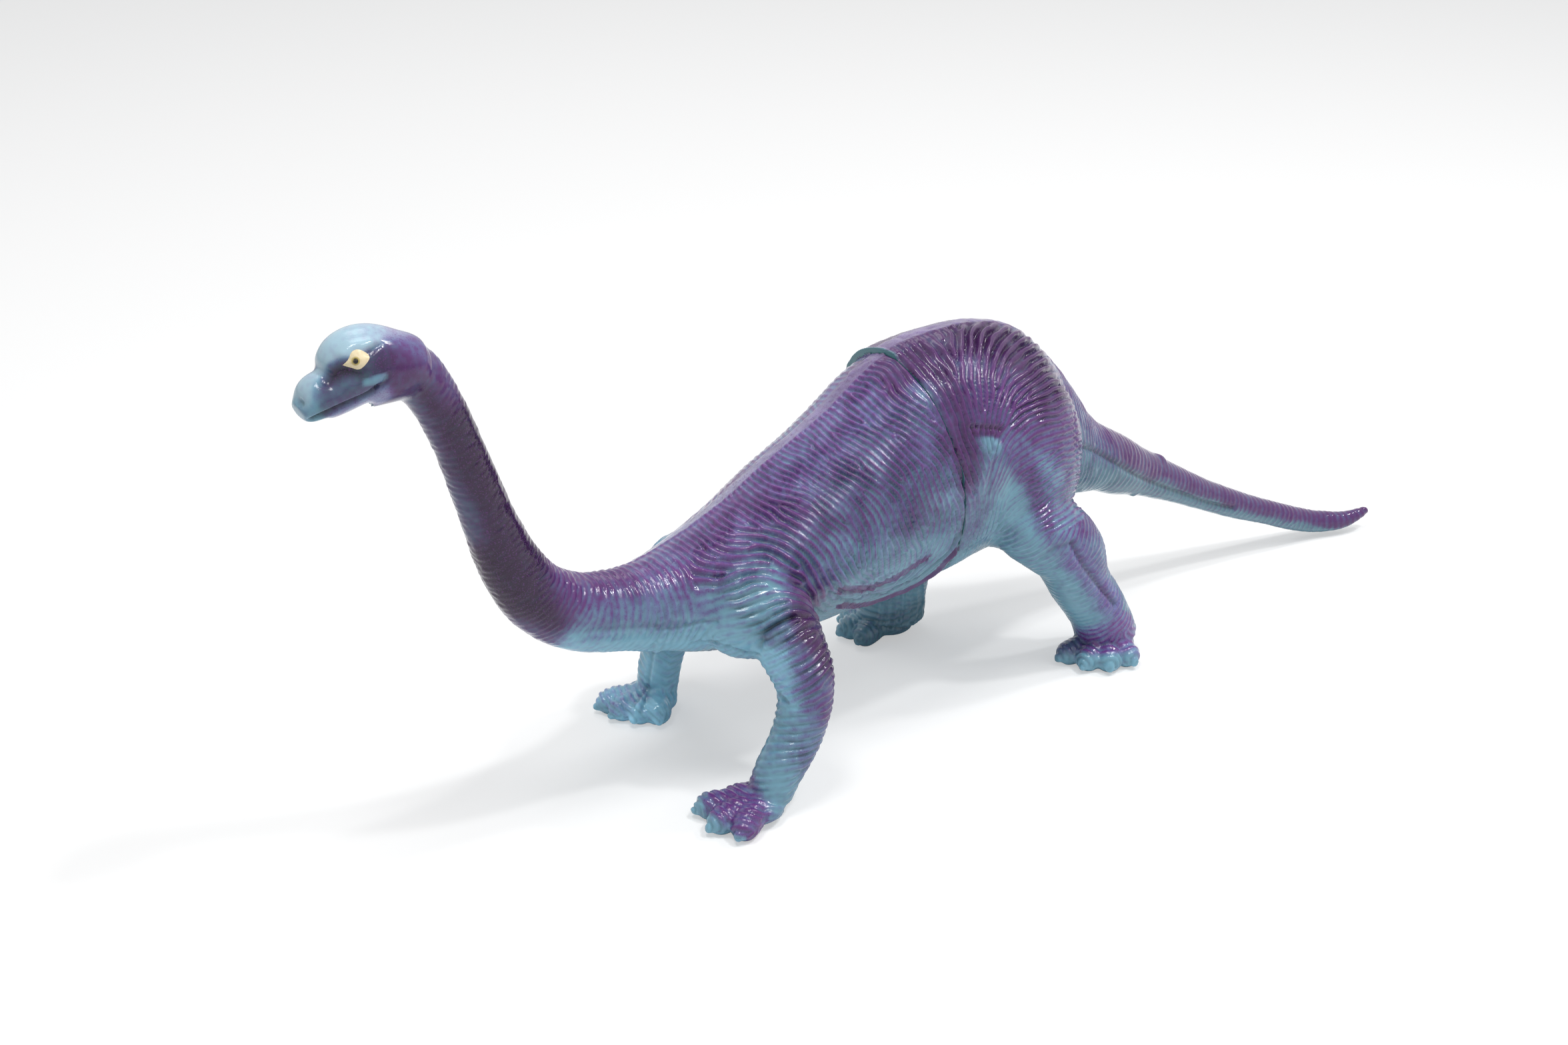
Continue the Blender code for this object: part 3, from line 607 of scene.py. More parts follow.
def settle(z, a, b, grad, points, passes):
    """Let each phase agree with what its neighbours foretell."""
    sign, turn = turns(a, b, grad, points)
    for _ in range(passes):
        other = foretold(z[b], sign, turn)
        total = np.bincount(a, other.real, len(z)) + 1j * np.bincount(a, other.imag, len(z))
        z = total / (np.abs(total) + 1e-9)
    return z


# the vertex nearest each cell's middle stands for the cell
order = np.lexsort((squared(P, C[cell_of]), cell_of))
first = order[np.searchsorted(cell_of[order], np.arange(cells))]
pairs = cell_of[edges]
pairs = pairs[pairs[:, 0] != pairs[:, 1]]
pairs = np.unique(np.sort(pairs, 1), axis=0)
pairs = np.concatenate((pairs, pairs[:, ::-1]))
start_phase = np.random.default_rng(7).random(cells) * 2 * pi
z = settle(np.exp(1j * start_phase), pairs[:, 0], pairs[:, 1], G[first], P[first], CELL_PHASE_PASSES)
z = foretold(z[cell_of], *turns(np.arange(count), first[cell_of], G, P))
z = settle(z, one_end, other_end, G, P, SKIN_PHASE_PASSES)
# how well the neighbours agree: low where wrinkles fork
other = foretold(z[other_end], *turns(one_end, other_end, G, P))
agree = np.bincount(one_end, (other * np.conj(z[one_end])).real, count) / np.bincount(one_end, minlength=count)
z *= np.exp(1j * (0.7 * noise(P, 5.0, 21) + 0.4 * noise(P, 2.1, 22)))
wave = 0.5 + 0.5 * z.real

# ---- creases and bumps
# each row: depth in mm (raised where negative), half width in mm, darkness of the painted shade in the crease, lines
# of pixels
CREASES = (
    # mouth and jaw
    (1.3, 0.6, 0.85, (467, 631, 484, 623, 500, 616, 520, 607, 540, 598, 556, 590, 568, 582)),
    (0.6, 0.7, 0.23, (567, 582, 576, 575, 580, 567)), (-0.22, 1.2, 0, (497, 598, 515, 590, 545, 577, 575, 568)),
    # hollow in front of and under the eye, brow over it
    (0.7, 1.5, 0.45, (492, 572, 505, 560, 520, 557, 535, 561)),
    (-0.55, 1.2, 0, (516, 532, 528, 521, 545, 517, 562, 514)), (0.6, 0.7, 0.23, (552, 529, 560, 522, 568, 517)),
    # nostril
    (0.7, 0.7, 0.27, (449, 603, 452, 606)),
    # hip: ledge, recess and folds beside it
    (0.7, 0.6, 0, (1457, 641, 1475, 641, 1503, 644)), (0.9, 2.2, 0, (1463, 652, 1480, 654, 1500, 654)),
    (0.5, 0.9, 0.1, (1440, 640, 1452, 673, 1459, 707, 1463, 740)),
    (0.3, 0.8, 0, (1612, 620, 1615, 680, 1617, 730, 1616, 790)),
    (0.35, 0.7, 0.13, (1493, 690, 1487, 713, 1483, 743)),
    (1, 0.55, 0.45, (1255, 900, 1285, 901, 1300, 893, 1325, 893, 1345, 880, 1375, 868, 1400, 850, 1425, 826, 1440,
      800)),
    (0.7, 0.5, 0.3, (1262, 889, 1290, 889, 1310, 880, 1340, 876, 1365, 860, 1395, 838)),
    (-0.8, 0.8, 0, (1260, 909, 1287, 908, 1313, 901, 1345, 890, 1375, 876, 1405, 856, 1432, 828)),
    # shoulder, elbow, calf
    (1.1, 1, 0.42, (1138, 972, 1146, 952, 1163, 938, 1190, 925)),
    (0.8, 0.7, 0.3, (1166, 1040, 1173, 1048, 1180, 1055)),
    (1, 0.9, 0.38, (1609, 816, 1623, 843, 1645, 873, 1673, 907)),
    (0.4, 0.8, 0.15, (1560, 838, 1580, 824, 1600, 818)),
    # tail groove
    (0.9, 0.8, 0.35, (1619, 671, 1640, 676, 1678, 697, 1711, 716, 1747, 731, 1780, 743, 1815, 755, 1850, 763)),
    # parting line on the chest
    (0.6, 0.45, 0.23, (1036, 967, 1050, 963, 1068, 964, 1088, 969, 1110, 976, 1138, 983)),
    (0.5, 0.5, 0.19, (986, 945, 1010, 944, 1030, 940, 1050, 934, 1075, 932)),
    (0.3, 0.8, 0.11, (880, 948, 940, 944, 990, 940, 1030, 938)),
    # far fore leg
    (0.6, 0.6, 0.23, (981, 968, 978, 990, 972, 1028)), (-0.5, 1.3, 0, (985, 970, 982, 995, 977, 1026)),
    (0.6, 0.7, 0.23, (968, 1034, 955, 1050, 946, 1062), (973, 1034, 968, 1052, 962, 1070)),
    # ridges on the far hind foot
    (-0.5, 0.55, 0, (1384, 880, 1384, 905, 1380, 925), (1374, 885, 1374, 910, 1370, 934), (1364, 888, 1364, 913,
      1360, 938), (1354, 892, 1353, 916, 1349, 942), (1344, 896, 1343, 920, 1338, 945), (1333, 902, 1331, 925, 1326,
      948), (1323, 908, 1320, 928, 1315, 948)),
)
# each bump: height and radius in mm, pixel
BUMPS = (
    (1, 0.6, 1721, 674), (0.7, 1.8, 1742, 687), (1, 0.5, 1714, 748), (0.5, 1, 1700, 742), (0.4, 1.2, 1115, 978),
    (0.4, 1, 1128, 984), (0.35, 0.8, 1495, 648), (0.4, 0.7, 1512, 680), (0.25, 0.5, 1487, 692),
    (0.25, 0.4, 1200, 783), (0.3, 0.5, 1012, 917),
)
relief = np.zeros(count)
# painted shade in the creases: how much each one darkens the colour
crease_shade = np.zeros(count)
for depth, width, dark, *lines in CREASES:
    for hits in map(trace, lines, [2.0] * len(lines)):
        if len(hits) == 0:
            continue
        low, high = hits.min(0) - 4 * width, hits.max(0) + 4 * width
        near = np.nonzero(((P > low) & (P < high)).all(1))[0]
        gap = np.full(len(near), 1e9)
        for hit in hits:
            gap = np.minimum(gap, squared(P[near], hit))
        relief[near] -= depth * np.exp(-gap / width ** 2)
        crease_shade[near] = np.maximum(crease_shade[near], dark * np.exp(-gap / (0.8 * width) ** 2))
for rise, width, *pixel in BUMPS:
    hit = look(tree, *pixel)[0]
    if hit is None:
        continue
    hit = np.array(hit) * 1000
    near = np.nonzero((np.abs(P - hit) < 4 * width).all(1))[0]
    relief[near] += rise * np.exp(-squared(P[near], hit) / width ** 2)

# places where the wrinkles fade: share that stays, spread in mm, line of pixels
CALM = (
    (0.15, 4.5, 1050, 905, 1080, 925, 1105, 955), (0.2, 3.5, 1120, 960, 1140, 990),
    (0.35, 4, 1490, 700, 1510, 740, 1540, 800), (0.3, 3, 1455, 740, 1455, 800), (0.3, 3.5, 1590, 880, 1625, 920),
    (0.4, 3, 1165, 1000, 1178, 1040), (0.3, 3.5, 980, 985, 985, 1050),
)
calm = np.ones(count)
for stays, wide, *pixels in CALM:
    for hit in trace(pixels, 10.0):
        for centre in (hit, hit * FLIP + ACROSS):
            calm *= 1 - (1 - stays) * 0.6 * np.exp(-squared(P, centre) / (2 * (wide / 1.6) ** 2))

# ---- sprayed paint
# each dab: purple share, lightness (the paint's tone together with painted light and shade, region by region), how
# much it follows the wrinkles, spread in mm, line of pixels
PAINT = (
    # head: the pale dabs over the dome and along the snout's top are partly a painted highlight, the pale one along
    # the brow is a painted highlight, and the very dark one under the eye is partly painted shade in its hollow
    (0, 1.7, 0, 2.6, 492, 528, 505, 505, 530, 492), (0.15, 1.6, 0, 2.4, 545, 488, 560, 496, 540, 505),
    (0, 1.48, 0, 2, 482, 555, 470, 580, 452, 600), (0.5, 1.5, 0, 2.4, 580, 492, 600, 500),
    (0, 1.7, 0, 0.9, 530, 518, 545, 513, 562, 509), (0.9, 0.12, 0, 1.5, 494, 575, 503, 566, 514, 561, 526, 563),
    (0.4, 0.5, 0, 1, 485, 582, 492, 590), (0.34, 0.38, 0, 1.9, 487, 600, 500, 592, 520, 584, 540, 575, 556, 560),
    (0.2, 0.8, 0, 0.8, 503, 583, 515, 577, 530, 573), (0.1, 1.1, 0, 0.36, 548, 575, 562, 570, 577, 566),
    (0.6, 0.72, 0, 1, 495, 610, 520, 600, 550, 586), (0.85, 0.32, 0, 1.9, 566, 528, 576, 540, 570, 552),
    (0.75, 1.1, 0, 2.4, 605, 512, 625, 518, 645, 532), (0.9, 0.62, 0, 2.4, 598, 535, 610, 555, 620, 575),
    (0.55, 1.35, 0, 1.1, 510, 618, 530, 609, 555, 600, 575, 593), (0, 1.1, 0, 1.3, 446, 612, 452, 622, 464, 628),
    (0.85, 0.95, 0, 2.2, 655, 548, 668, 568, 684, 600),
    # neck: the high lightness under it and along the top of its base is partly painted light, for the light thrown up
    # from below and for the glints above
    (0.58, 0.64, 0.1, 2.2, 605, 598, 634, 637, 665, 714, 697, 775, 710, 806),
    (1, 0.27, 0.15, 3.6, 645, 585, 677, 637, 727, 733, 765, 806, 800, 845),
    (1, 0.21, 0.15, 2.6, 692, 615, 754, 745, 800, 822), (1, 0.2, 0.15, 4.5, 740, 830, 773, 887, 808, 925),
    (0.95, 0.92, 0.3, 4, 840, 868, 892, 887, 946, 879), (0.8, 1.02, 0.35, 4, 985, 862, 1042, 839, 1090, 815),
    (0.86, 1.4, 0.35, 3, 946, 845, 1004, 810, 1054, 775, 1085, 750),
    (0.44, 1.05, 0.3, 3.5, 892, 930, 946, 924, 1023, 912, 1081, 905),
    (0, 1.58, 0.1, 3.5, 849, 975, 946, 965, 1061, 955, 1119, 962), (0.7, 0.75, 0.1, 2.6, 780, 940, 815, 964),
    # flank
    (0.78, 1.46, 0.28, 3.5, 1097, 733, 1147, 690, 1213, 640, 1267, 590, 1300, 565),
    (1, 0.78, 0.4, 2.5, 1313, 550, 1335, 558, 1345, 578), (0.66, 1.34, 0.45, 5, 1163, 707, 1247, 650, 1313, 617),
    (0.68, 1.18, 0.5, 5, 1280, 683, 1347, 660, 1400, 690), (0.62, 1, 0.75, 5, 1230, 750, 1297, 733, 1380, 733),
    (0.6, 0.98, 0.7, 5, 1230, 790, 1300, 780, 1350, 780, 1400, 765),
    (0.18, 1.26, 0.55, 4.5, 1280, 845, 1347, 830, 1413, 800),
    (0.55, 1.25, 0.4, 2.5, 1373, 580, 1400, 603, 1415, 630), (0.34, 1.25, 0.4, 2.5, 1433, 700, 1443, 767),
    (0.95, 1, 0.4, 3, 1123, 757, 1165, 768, 1207, 783), (0.6, 1.15, 0.75, 4, 1147, 810, 1197, 820, 1220, 850),
    (0.36, 1.18, 0.7, 4, 1120, 860, 1163, 877), (0.92, 0.95, 0.7, 2.5, 1190, 880, 1215, 896),
    (0.06, 1.05, 0.3, 3.5, 1100, 903, 1147, 914, 1110, 942),
    (0.9, 0.78, 0, 0.5, 1260, 909, 1287, 908, 1313, 901, 1345, 890, 1375, 876, 1405, 856, 1432, 828),
    (0.15, 1.15, 0, 0.6, 1260, 896, 1290, 896, 1320, 887, 1350, 872, 1385, 852),
    (0.8, 0.95, 0.3, 0.6, 1262, 886, 1295, 884, 1325, 875, 1355, 860, 1390, 838),
    (0, 1.2, 0.1, 1.2, 1280, 925, 1347, 902, 1413, 867, 1446, 835),
    # hips
    (1, 0.7, 0.25, 3, 1373, 527, 1400, 553, 1420, 587, 1433, 620, 1447, 660, 1457, 693),
    (1, 0.62, 0.25, 4.5, 1440, 500, 1490, 527, 1540, 553, 1573, 593),
    (0.86, 1.15, 0.5, 3.5, 1440, 577, 1473, 560, 1507, 577, 1530, 620),
    (0.86, 1.1, 0.25, 2.5, 1455, 615, 1480, 620, 1500, 620), (0.85, 1.1, 0.3, 3.5, 1583, 633, 1600, 673),
    (1, 0.85, 0.2, 1.4, 1450, 742, 1447, 705, 1444, 665), (1, 0.9, 0.1, 0.6, 1458, 645, 1475, 645, 1500, 648),
    (0.1, 1.12, 0, 1.4, 1477, 664, 1487, 668, 1490, 678), (0.42, 1.05, 0.4, 2.4, 1478, 700, 1500, 705, 1490, 735),
    (0.4, 1.02, 0.2, 2.6, 1460, 750, 1457, 793), (0.74, 1.12, 0.3, 1.5, 1518, 670, 1540, 713, 1560, 760, 1573, 805),
    (0.04, 1.2, 0.3, 3, 1500, 778, 1518, 743, 1535, 793, 1565, 837),
    (0.42, 1.3, 0.5, 3, 1573, 700, 1590, 740, 1597, 800), (0.6, 1.15, 0.5, 1.8, 1609, 690, 1611, 740, 1611, 790),
    (0.6, 1, 0.1, 1.8, 1580, 822, 1597, 818),
    # near hind leg and foot
    (0, 1.12, 0.1, 3.2, 1587, 868, 1616, 904, 1635, 932), (0.66, 1.4, 0.1, 1.8, 1612, 832, 1641, 876, 1666, 910),
    (0.76, 1.45, 0.3, 2.2, 1641, 956, 1676, 950, 1694, 968),
    (0, 1.2, 0, 1.2, 1598, 990, 1623, 997, 1657, 1000, 1697, 990), (0.5, 1, 0.1, 1.8, 1594, 968, 1600, 975),
    (0.42, 1.08, 0.2, 2.6, 1634, 807, 1651, 829, 1668, 864), (0.8, 0.95, 0.2, 2, 1625, 795, 1645, 797),
    # near fore leg and foot
    (1, 0.46, 0.2, 2.6, 1206, 924, 1218, 944, 1233, 974, 1243, 1003), (0.85, 0.95, 0.3, 2.2, 1246, 1032, 1244, 1065),
    (0, 1.8, 0.3, 2.6, 1158, 990, 1174, 1024, 1182, 1045), (0.35, 1.05, 0.2, 2, 1159, 959, 1176, 948),
    (0.52, 1.02, 0.45, 2.6, 1206, 990, 1218, 1026, 1225, 1055),
    (0.04, 1.18, 0.2, 3.2, 1168, 1076, 1177, 1135, 1165, 1175), (0.4, 1.05, 0.25, 2.6, 1215, 1100, 1200, 1150),
    (0.86, 1.2, 0.3, 2, 1118, 1183, 1098, 1194, 1135, 1218, 1125, 1234, 1080, 1212),
    (0, 1.2, 0, 1.2, 1096, 1252, 1062, 1236, 1033, 1210), (0.15, 1.02, 0.3, 2.2, 1160, 1238, 1178, 1212),
    # far legs: the high lightness on the far fore leg and its foot is painted light, lifting the shade they stand in
    (0, 1.95, 0.2, 3.6, 966, 996, 1004, 1009, 985, 1050), (0.05, 3.2, 0.3, 2.2, 905, 1042, 919, 1036, 935, 1040),
    (0, 2.2, 0.1, 2.2, 940, 1065, 975, 1070), (0, 0.78, 0.2, 3.6, 1300, 940, 1340, 915, 1380, 900),
)
top = ramp(NZ, -0.5, 0.8)
skin_label = label[cell_of]
start_purple = np.where(skin_label > 0, 0.10 + 0.25 * top, 0.05 + 0.85 * top)
paint = np.stack((start_purple, np.ones(count), np.full(count, 0.3)), 1)
# the tail is purple above and bare below
on_tail = ramp(X, 52, 66)
tail_purple = 0.06 + 0.90 * ramp(NZ + 0.18 * noise(P, 7.0, 15) + 0.5 * ramp(X, 140, 160), -0.28, 0.22)
paint[:, 0] += on_tail * (tail_purple - paint[:, 0])
paint[:, 1] *= 1 - 0.22 * on_tail
weights = BASE_WEIGHT + TAIL_WEIGHT * on_tail
paint *= weights[:, None]
by_x = np.argsort(X)
sorted_x = X[by_x]
# a dab reaches three spreads on its own label's skin, and half as far on the next
for amount, bright, ridges, wide, *pixels in PAINT:
    far_reach, near_reach = 3 * wide, 1.5 * wide
    hits = trace(pixels, min(6.0, 5 * wide))
    if len(hits) == 0:
        continue
    labels = labels_at(hits)
    mirror, _, far_labels = mirrored(hits, hits, labels)
    near_side = ~np.isin(labels, FAR_LEGS)
    for points, groups in ((hits, labels), (mirror[near_side], far_labels[near_side])):
        for p, l in zip(points, groups):
            low, high = np.searchsorted(sorted_x, (p[0] - far_reach, p[0] + far_reach))
            idx = by_x[low:high]
            gap = squared(P[idx], p)
            near = (gap < far_reach ** 2) & ((skin_label[idx] == l) | (gap < near_reach ** 2))
            idx, gap = idx[near], gap[near]
            w = np.exp(-gap / (2 * wide ** 2)) * (3.0 / wide) ** 2.0
            paint[idx] += w[:, None] * np.array((amount, bright, ridges))
            weights[idx] += w
purple, light, follow = (paint / weights[:, None]).T
purple = purple * np.where(np.isin(skin_label, FAR_LEGS), 0.3, 1.0)

# ---- relief of the skin
on_back = ramp(NZ, 0.15, 0.45) * ramp(X, -104, -94) * (1 - ramp(X, 26, 38)) * (Z > 50)
strip_y = np.interp(X, (-95, -75, -57, -42, -27, -11, 5, 25), (5.4, 6.0, 5.6, 5.0, 3.8, 2.0, 0.6, -0.6))
strip_wide = np.interp(X, (-95, -75, -40, -10, 20), (3.0, 3.5, 4.0, 5.5, 5.5))
from_edge = Y - strip_y
strip = on_back * ramp(from_edge, -0.3, 0.5) * (1 - ramp(from_edge - strip_wide, -0.5, 0.8))
strip_edge = on_back * bell(from_edge + 0.2, 0.45)
# broad crests with narrow grooves, narrow crests where the spray caught only them
ridge = wave ** (0.6 + 1.0 * ramp(follow, 0.55, 0.85))
low_noise, mid_noise, fine_noise = noise(P, 9.0, 11), noise(P, 4.0, 12), noise(P, 1.4, 13)
broken = ramp(noise(P, 3.2, 31) + 0.6 * noise(P, 1.7, 32), -0.5, 0.15)
amount = height * (1 + 0.45 * low_noise + 0.55 * mid_noise)
amount *= 0.35 + 0.65 * ramp(agree, 0.45, 0.85)
on_front = X < -7
amount *= calm * (1 - strip) * (1 - 0.3 * (1 - broken) * on_front)
# stronger on the fan over the hips; weaker behind them, beside and past the strip, on the tail's top and below
on_fan = ramp(X, 0, 12) * ramp(Z, 84, 96)
amount *= 1 + 0.45 * on_fan
amount *= 1 - 0.65 * ramp(NX, 0.30, 0.65) * ramp(X, 25, 40) * ramp(Z, 50, 60)
amount *= 1 - 0.55 * on_back * bell(np.minimum(np.abs(from_edge), np.abs(from_edge - strip_wide)), 3.0)
amount *= 1 - 0.85 * on_back * (from_edge > strip_wide)
amount *= 1 - 0.75 * ramp(X, 15, 30) * bell(Y - 1, 5)
amount *= 1 - 0.75 * ramp(-NZ, 0.35, 0.75) * (skin_label == 0)
amount *= ramp(Z, 0.8, 2.6)
head_fade = ramp(X - 0.35 * (Z - 120), -146, -134)
amount = np.maximum(amount * head_fade, 0)
relief += RELIEF * amount * (ridge * 1.6 - 0.95)
relief += (0.10 * low_noise + 0.06 * mid_noise + (0.05 + 0.07 * (X < -100)) * fine_noise) * head_fade
relief += 0.22 * strip + 0.22 * strip_edge + strip * 0.14 * noise(P, 1.3, 14)

# raised lip along the seam on the rear moulding's back
seam_point = np.array([WAIST_X - MIDDLE[0], 0, HEAD_TOP / 2])
seam_normal = np.array([cos(WAIST_LEAN), 0, sin(WAIST_LEAN)])
side = (P - seam_point) @ seam_normal
is_foot = (Z < 28) & (Y > 0) & (X > -25)
on_trunk = ~is_foot & (Z > 34)
across_back = ramp(Y, -2.5, -0.5) * (1 - ramp(Y, 18.0, 23.0)) * (NZ > 0)
behind = on_trunk * ramp(side, -0.1, 0.2) * across_back
lip = behind * (1 - ramp(side, 0.7, 1.2))
relief *= 1 - 0.85 * across_back * on_trunk * bell(side, 2.0)
relief += 0.45 * lip + (0.75 + 0.6 * ramp(Y, 6, 14)) * behind * (1 - ramp(side, 1.0, 20.0))
relief -= on_trunk * 0.30 * bell(side, 0.8) * (1 - across_back)
flat_sole = Z < 0.6
relief[flat_sole] = np.minimum(relief[flat_sole], 0)
Q = P + N * relief[:, None]
Q[:, 2] = np.maximum(Q[:, 2], 0.05)

# ---- colours
# bare teal, blue and violet where the spray is thin, full purple
CLAW_REACH = 2.2
SPRAY_AT = (0.0, 0.5, 0.75, 1.0)
SPRAY = np.array(((0.128, 0.272, 0.352), (0.105, 0.132, 0.255), (0.098, 0.070, 0.205), (0.098, 0.027, 0.145)))
PALE, LILAC = np.array((0.41, 0.51, 0.57)), np.array((0.30, 0.22, 0.40))
STRIP_NEAR_NECK, STRIP_NEAR_SEAM = np.array((0.32, 0.33, 0.45)), np.array((0.20, 0.155, 0.30))


def mixed(one, other, share):
    return one * (1 - share[:, None]) + other * share[:, None]


def add_attribute(data, name, kind, key, values):
    data.attributes.new(name, kind, "POINT").data.foreach_set(key, values.astype(np.float32).ravel())


def add_paint(data, colours):
    add_attribute(data, "paint", "FLOAT_COLOR", "color", np.hstack((colours, np.ones((len(colours), 1)))))


clear = ramp(agree, 0.4, 0.8) * np.where(on_front, 0.45 + 0.55 * broken, 1)
crest = wave ** 1.5 * clear + 0.42 * (1 - clear)
share = purple + follow * 1.35 * (crest - 0.42) + 0.12 * mid_noise + 0.20 * noise(P, 0.9, 17)
near_claw = np.zeros(count)
for claw in claws:
    near_claw = np.maximum(near_claw, np.exp(-squared(P, claw) / CLAW_REACH ** 2))
near_claw = ramp(near_claw, 0.35, 0.75)
share = np.clip(share, 0, 1) * (1 - 0.85 * lip) * (1 - 0.9 * near_claw)
share = np.maximum(share, 0.85 * strip_edge)
colour = np.stack([np.interp(share, SPRAY_AT, SPRAY[:, k]) for k in range(3)], 1)
# the dabs' lightness: the paint's tone together with painted light and shade; the claws are painted lighter
colour *= (light * (1 + 0.05 * low_noise + 0.06 * fine_noise) * (1 + 0.15 * near_claw))[:, None]
strip_colour = mixed(STRIP_NEAR_NECK, STRIP_NEAR_SEAM, ramp(X, -75, -15))
strip_colour *= (1 + 0.22 * noise(P, 1.3, 14) + 0.15 * noise(P, 5.0, 16))[:, None]
colour = mixed(colour, strip_colour, strip * 0.85 * (1 - lip) * (1 - strip_edge))
# the head's pale cyan to lilac where its lightness is high: the pale paint of the head together with a painted
# highlight on the dome and the brow
pale_head_and_highlight = ramp(light, 1.12, 1.5) * (X < -135)
colour = mixed(colour, mixed(PALE, LILAC, share), 0.6 * pale_head_and_highlight)
# painted shade: the colour is darker in the gap along the seam and in the creases
groove = on_trunk * bell(side, 0.42) * (1 - 0.5 * across_back)
colour *= (1 - 0.55 * groove)[:, None] * (1 - crease_shade)[:, None]
# painted shade in the grooves of the wrinkles, stronger and wider on the fan over the hips
colour *= (1 - (0.42 + 0.20 * on_fan) * np.clip(amount / 0.30, 0, 1) * (1 - wave) ** (4 - 1.5 * on_fan))[:, None]

skin.vertices.foreach_set("co", (Q / 1000).astype(np.float32).ravel())
add_paint(skin, np.clip(colour, 0, 1))
add_attribute(skin, "share", "FLOAT", "value", share)
add_attribute(skin, "foot", "FLOAT", "value", is_foot)


# ---- materials
def new_material(name):
    material = bpy.data.materials.new(name)
    material.use_nodes = True
    return material, material.node_tree, material.node_tree.nodes["Principled BSDF"]


def feed(graph, item, inputs):
    """Give a node's inputs a value, another node's output or its first one."""
    for key, value in inputs.items():
        if isinstance(value, bpy.types.Node):
            value = value.outputs[0]
        if isinstance(value, bpy.types.NodeSocket):
            graph.links.new(value, item.inputs[key])
        else:
            item.inputs[key].default_value = value


def node(graph, kind, inputs={}, **settings):
    item = graph.nodes.new("ShaderNode" + kind)
    for key, value in settings.items():
        setattr(item, key, value)
    feed(graph, item, inputs)
    return item


def mottle_node(graph, scale, detail, roughness):
    """Noise in the piece's own coordinates."""
    place = node(graph, "TexCoord").outputs["Object"]
    return node(graph, "TexNoise", {"Vector": place, 2: scale, 3: detail, 4: roughness})


def rough_node(graph, mottle, low, high):
    return node(graph, "MapRange", {0: mottle, 1: 0.3, 2: 0.7, 3: low, 4: high})


vinyl, graph, shader = new_material("painted_vinyl")
speckle = mottle_node(graph, 2600.0, 3.0, 0.65)
spots = node(graph, "MapRange", {0: speckle, 1: 0.53, 2: 0.67})
share_node = node(graph, "Attribute", attribute_name="share").outputs["Fac"]
half_share = node(graph, "MapRange", {0: share_node, 1: 0.1, 2: 0.8, 3: 0.0, 4: 0.85})
spots = node(graph, "Math", {0: spots, 1: half_share}, operation="MULTIPLY")
paint_node = node(graph, "Attribute", attribute_name="paint")
sprayed = node(graph, "Mix", {0: spots, 6: paint_node, 7: (*SPRAY[3] * 0.95, 1)}, data_type="RGBA")
sheen = rough_node(graph, mottle_node(graph, 420.0, 3.0, 0.6), 0.07, 0.17)
bump = node(graph, "Bump", {"Strength": 0.5, "Distance": 0.00005, "Height": speckle})
feed(graph, shader, {"Base Color": sprayed.outputs[2], "Roughness": sheen, "Normal": bump, "Specular IOR Level": 0.42})

inner, graph, shader = new_material("bare_vinyl")
mottle = mottle_node(graph, 300.0, 3.0, 0.6)
tint = node(graph, "ValToRGB", {0: mottle})
tint.color_ramp.elements[0].color = (0.060, 0.165, 0.195, 1)
tint.color_ramp.elements[1].color = (0.095, 0.250, 0.285, 1)
feed(graph, shader, {"Base Color": tint, "Roughness": rough_node(graph, mottle, 0.38, 0.52)})

# ---- the two mouldings
plane_co, plane_no = Vector(seam_point) / 1000, Vector(seam_normal)


def coat(item, *materials):
    for material in materials:
        item.data.materials.append(material)
    item.data.polygons.foreach_set("use_smooth", [True] * len(item.data.polygons))


def moulding(name, front):
    """One half of the skin, cut at the seam, with its rim."""
    mesh = bmesh.new()
    mesh.from_mesh(skin)
    # the foot that steps forward under the seam belongs to the rear half and isn't cut
    foot_layer = mesh.verts.layers.float["foot"]
    foot = [f for f in mesh.faces if all(v[foot_layer] > 0.5 for v in f.verts)]
    if front:
        bmesh.ops.delete(mesh, geom=foot, context="FACES")
        foot = []
    uncut = set(foot)
    geometry = set()
    for face in mesh.faces:
        if face not in uncut:
            geometry.update((face, *face.edges, *face.verts))
    geometry.difference_update(v for f in foot for v in f.verts)
    shift = (-0.5 if front else 0.5) * SEAM_GAP / 1000
    cut = bmesh.ops.bisect_plane(mesh, geom=list(geometry), dist=1e-7, plane_co=plane_co + plane_no * shift,
                                 plane_no=plane_no, clear_outer=front, clear_inner=not front)
    rim = [e for e in cut["geom_cut"] if isinstance(e, BMEdge) and e.is_valid and len(e.link_faces) == 1]
    for inset, along in FRONT_RIM if front else REAR_RIM:
        grown = bmesh.ops.extrude_edge_only(mesh, edges=rim)["geom"]
        fresh = [g for g in grown if isinstance(g, BMVert)]
        centre = sum((v.co for v in fresh), Vector()) / len(fresh)
        for v in fresh:
            inward = centre - v.co
            inward -= plane_no * inward.dot(plane_no)
            v.co += inward.normalized() * inset / 1000 - plane_no * along / 1000
        fresh = set(fresh)
        rim = [g for g in grown if isinstance(g, BMEdge) and fresh.issuperset(g.verts)]
        for g in grown:
            if isinstance(g, BMFace):
                g.material_index = 1
    bmesh.ops.delete(mesh, geom=[v for v in mesh.verts if not v.link_faces], context="VERTS")
    bmesh.ops.recalc_face_normals(mesh, faces=mesh.faces)
    piece = mesh_item(name, mesh)
    coat(piece, vinyl, inner)
    return piece


for name, cad, front in (("front_moulding", "front_shell", True), ("rear_moulding", "rear_shell", False)):
    piece = moulding(name, front)
    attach(piece, "root")
    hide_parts(cad)

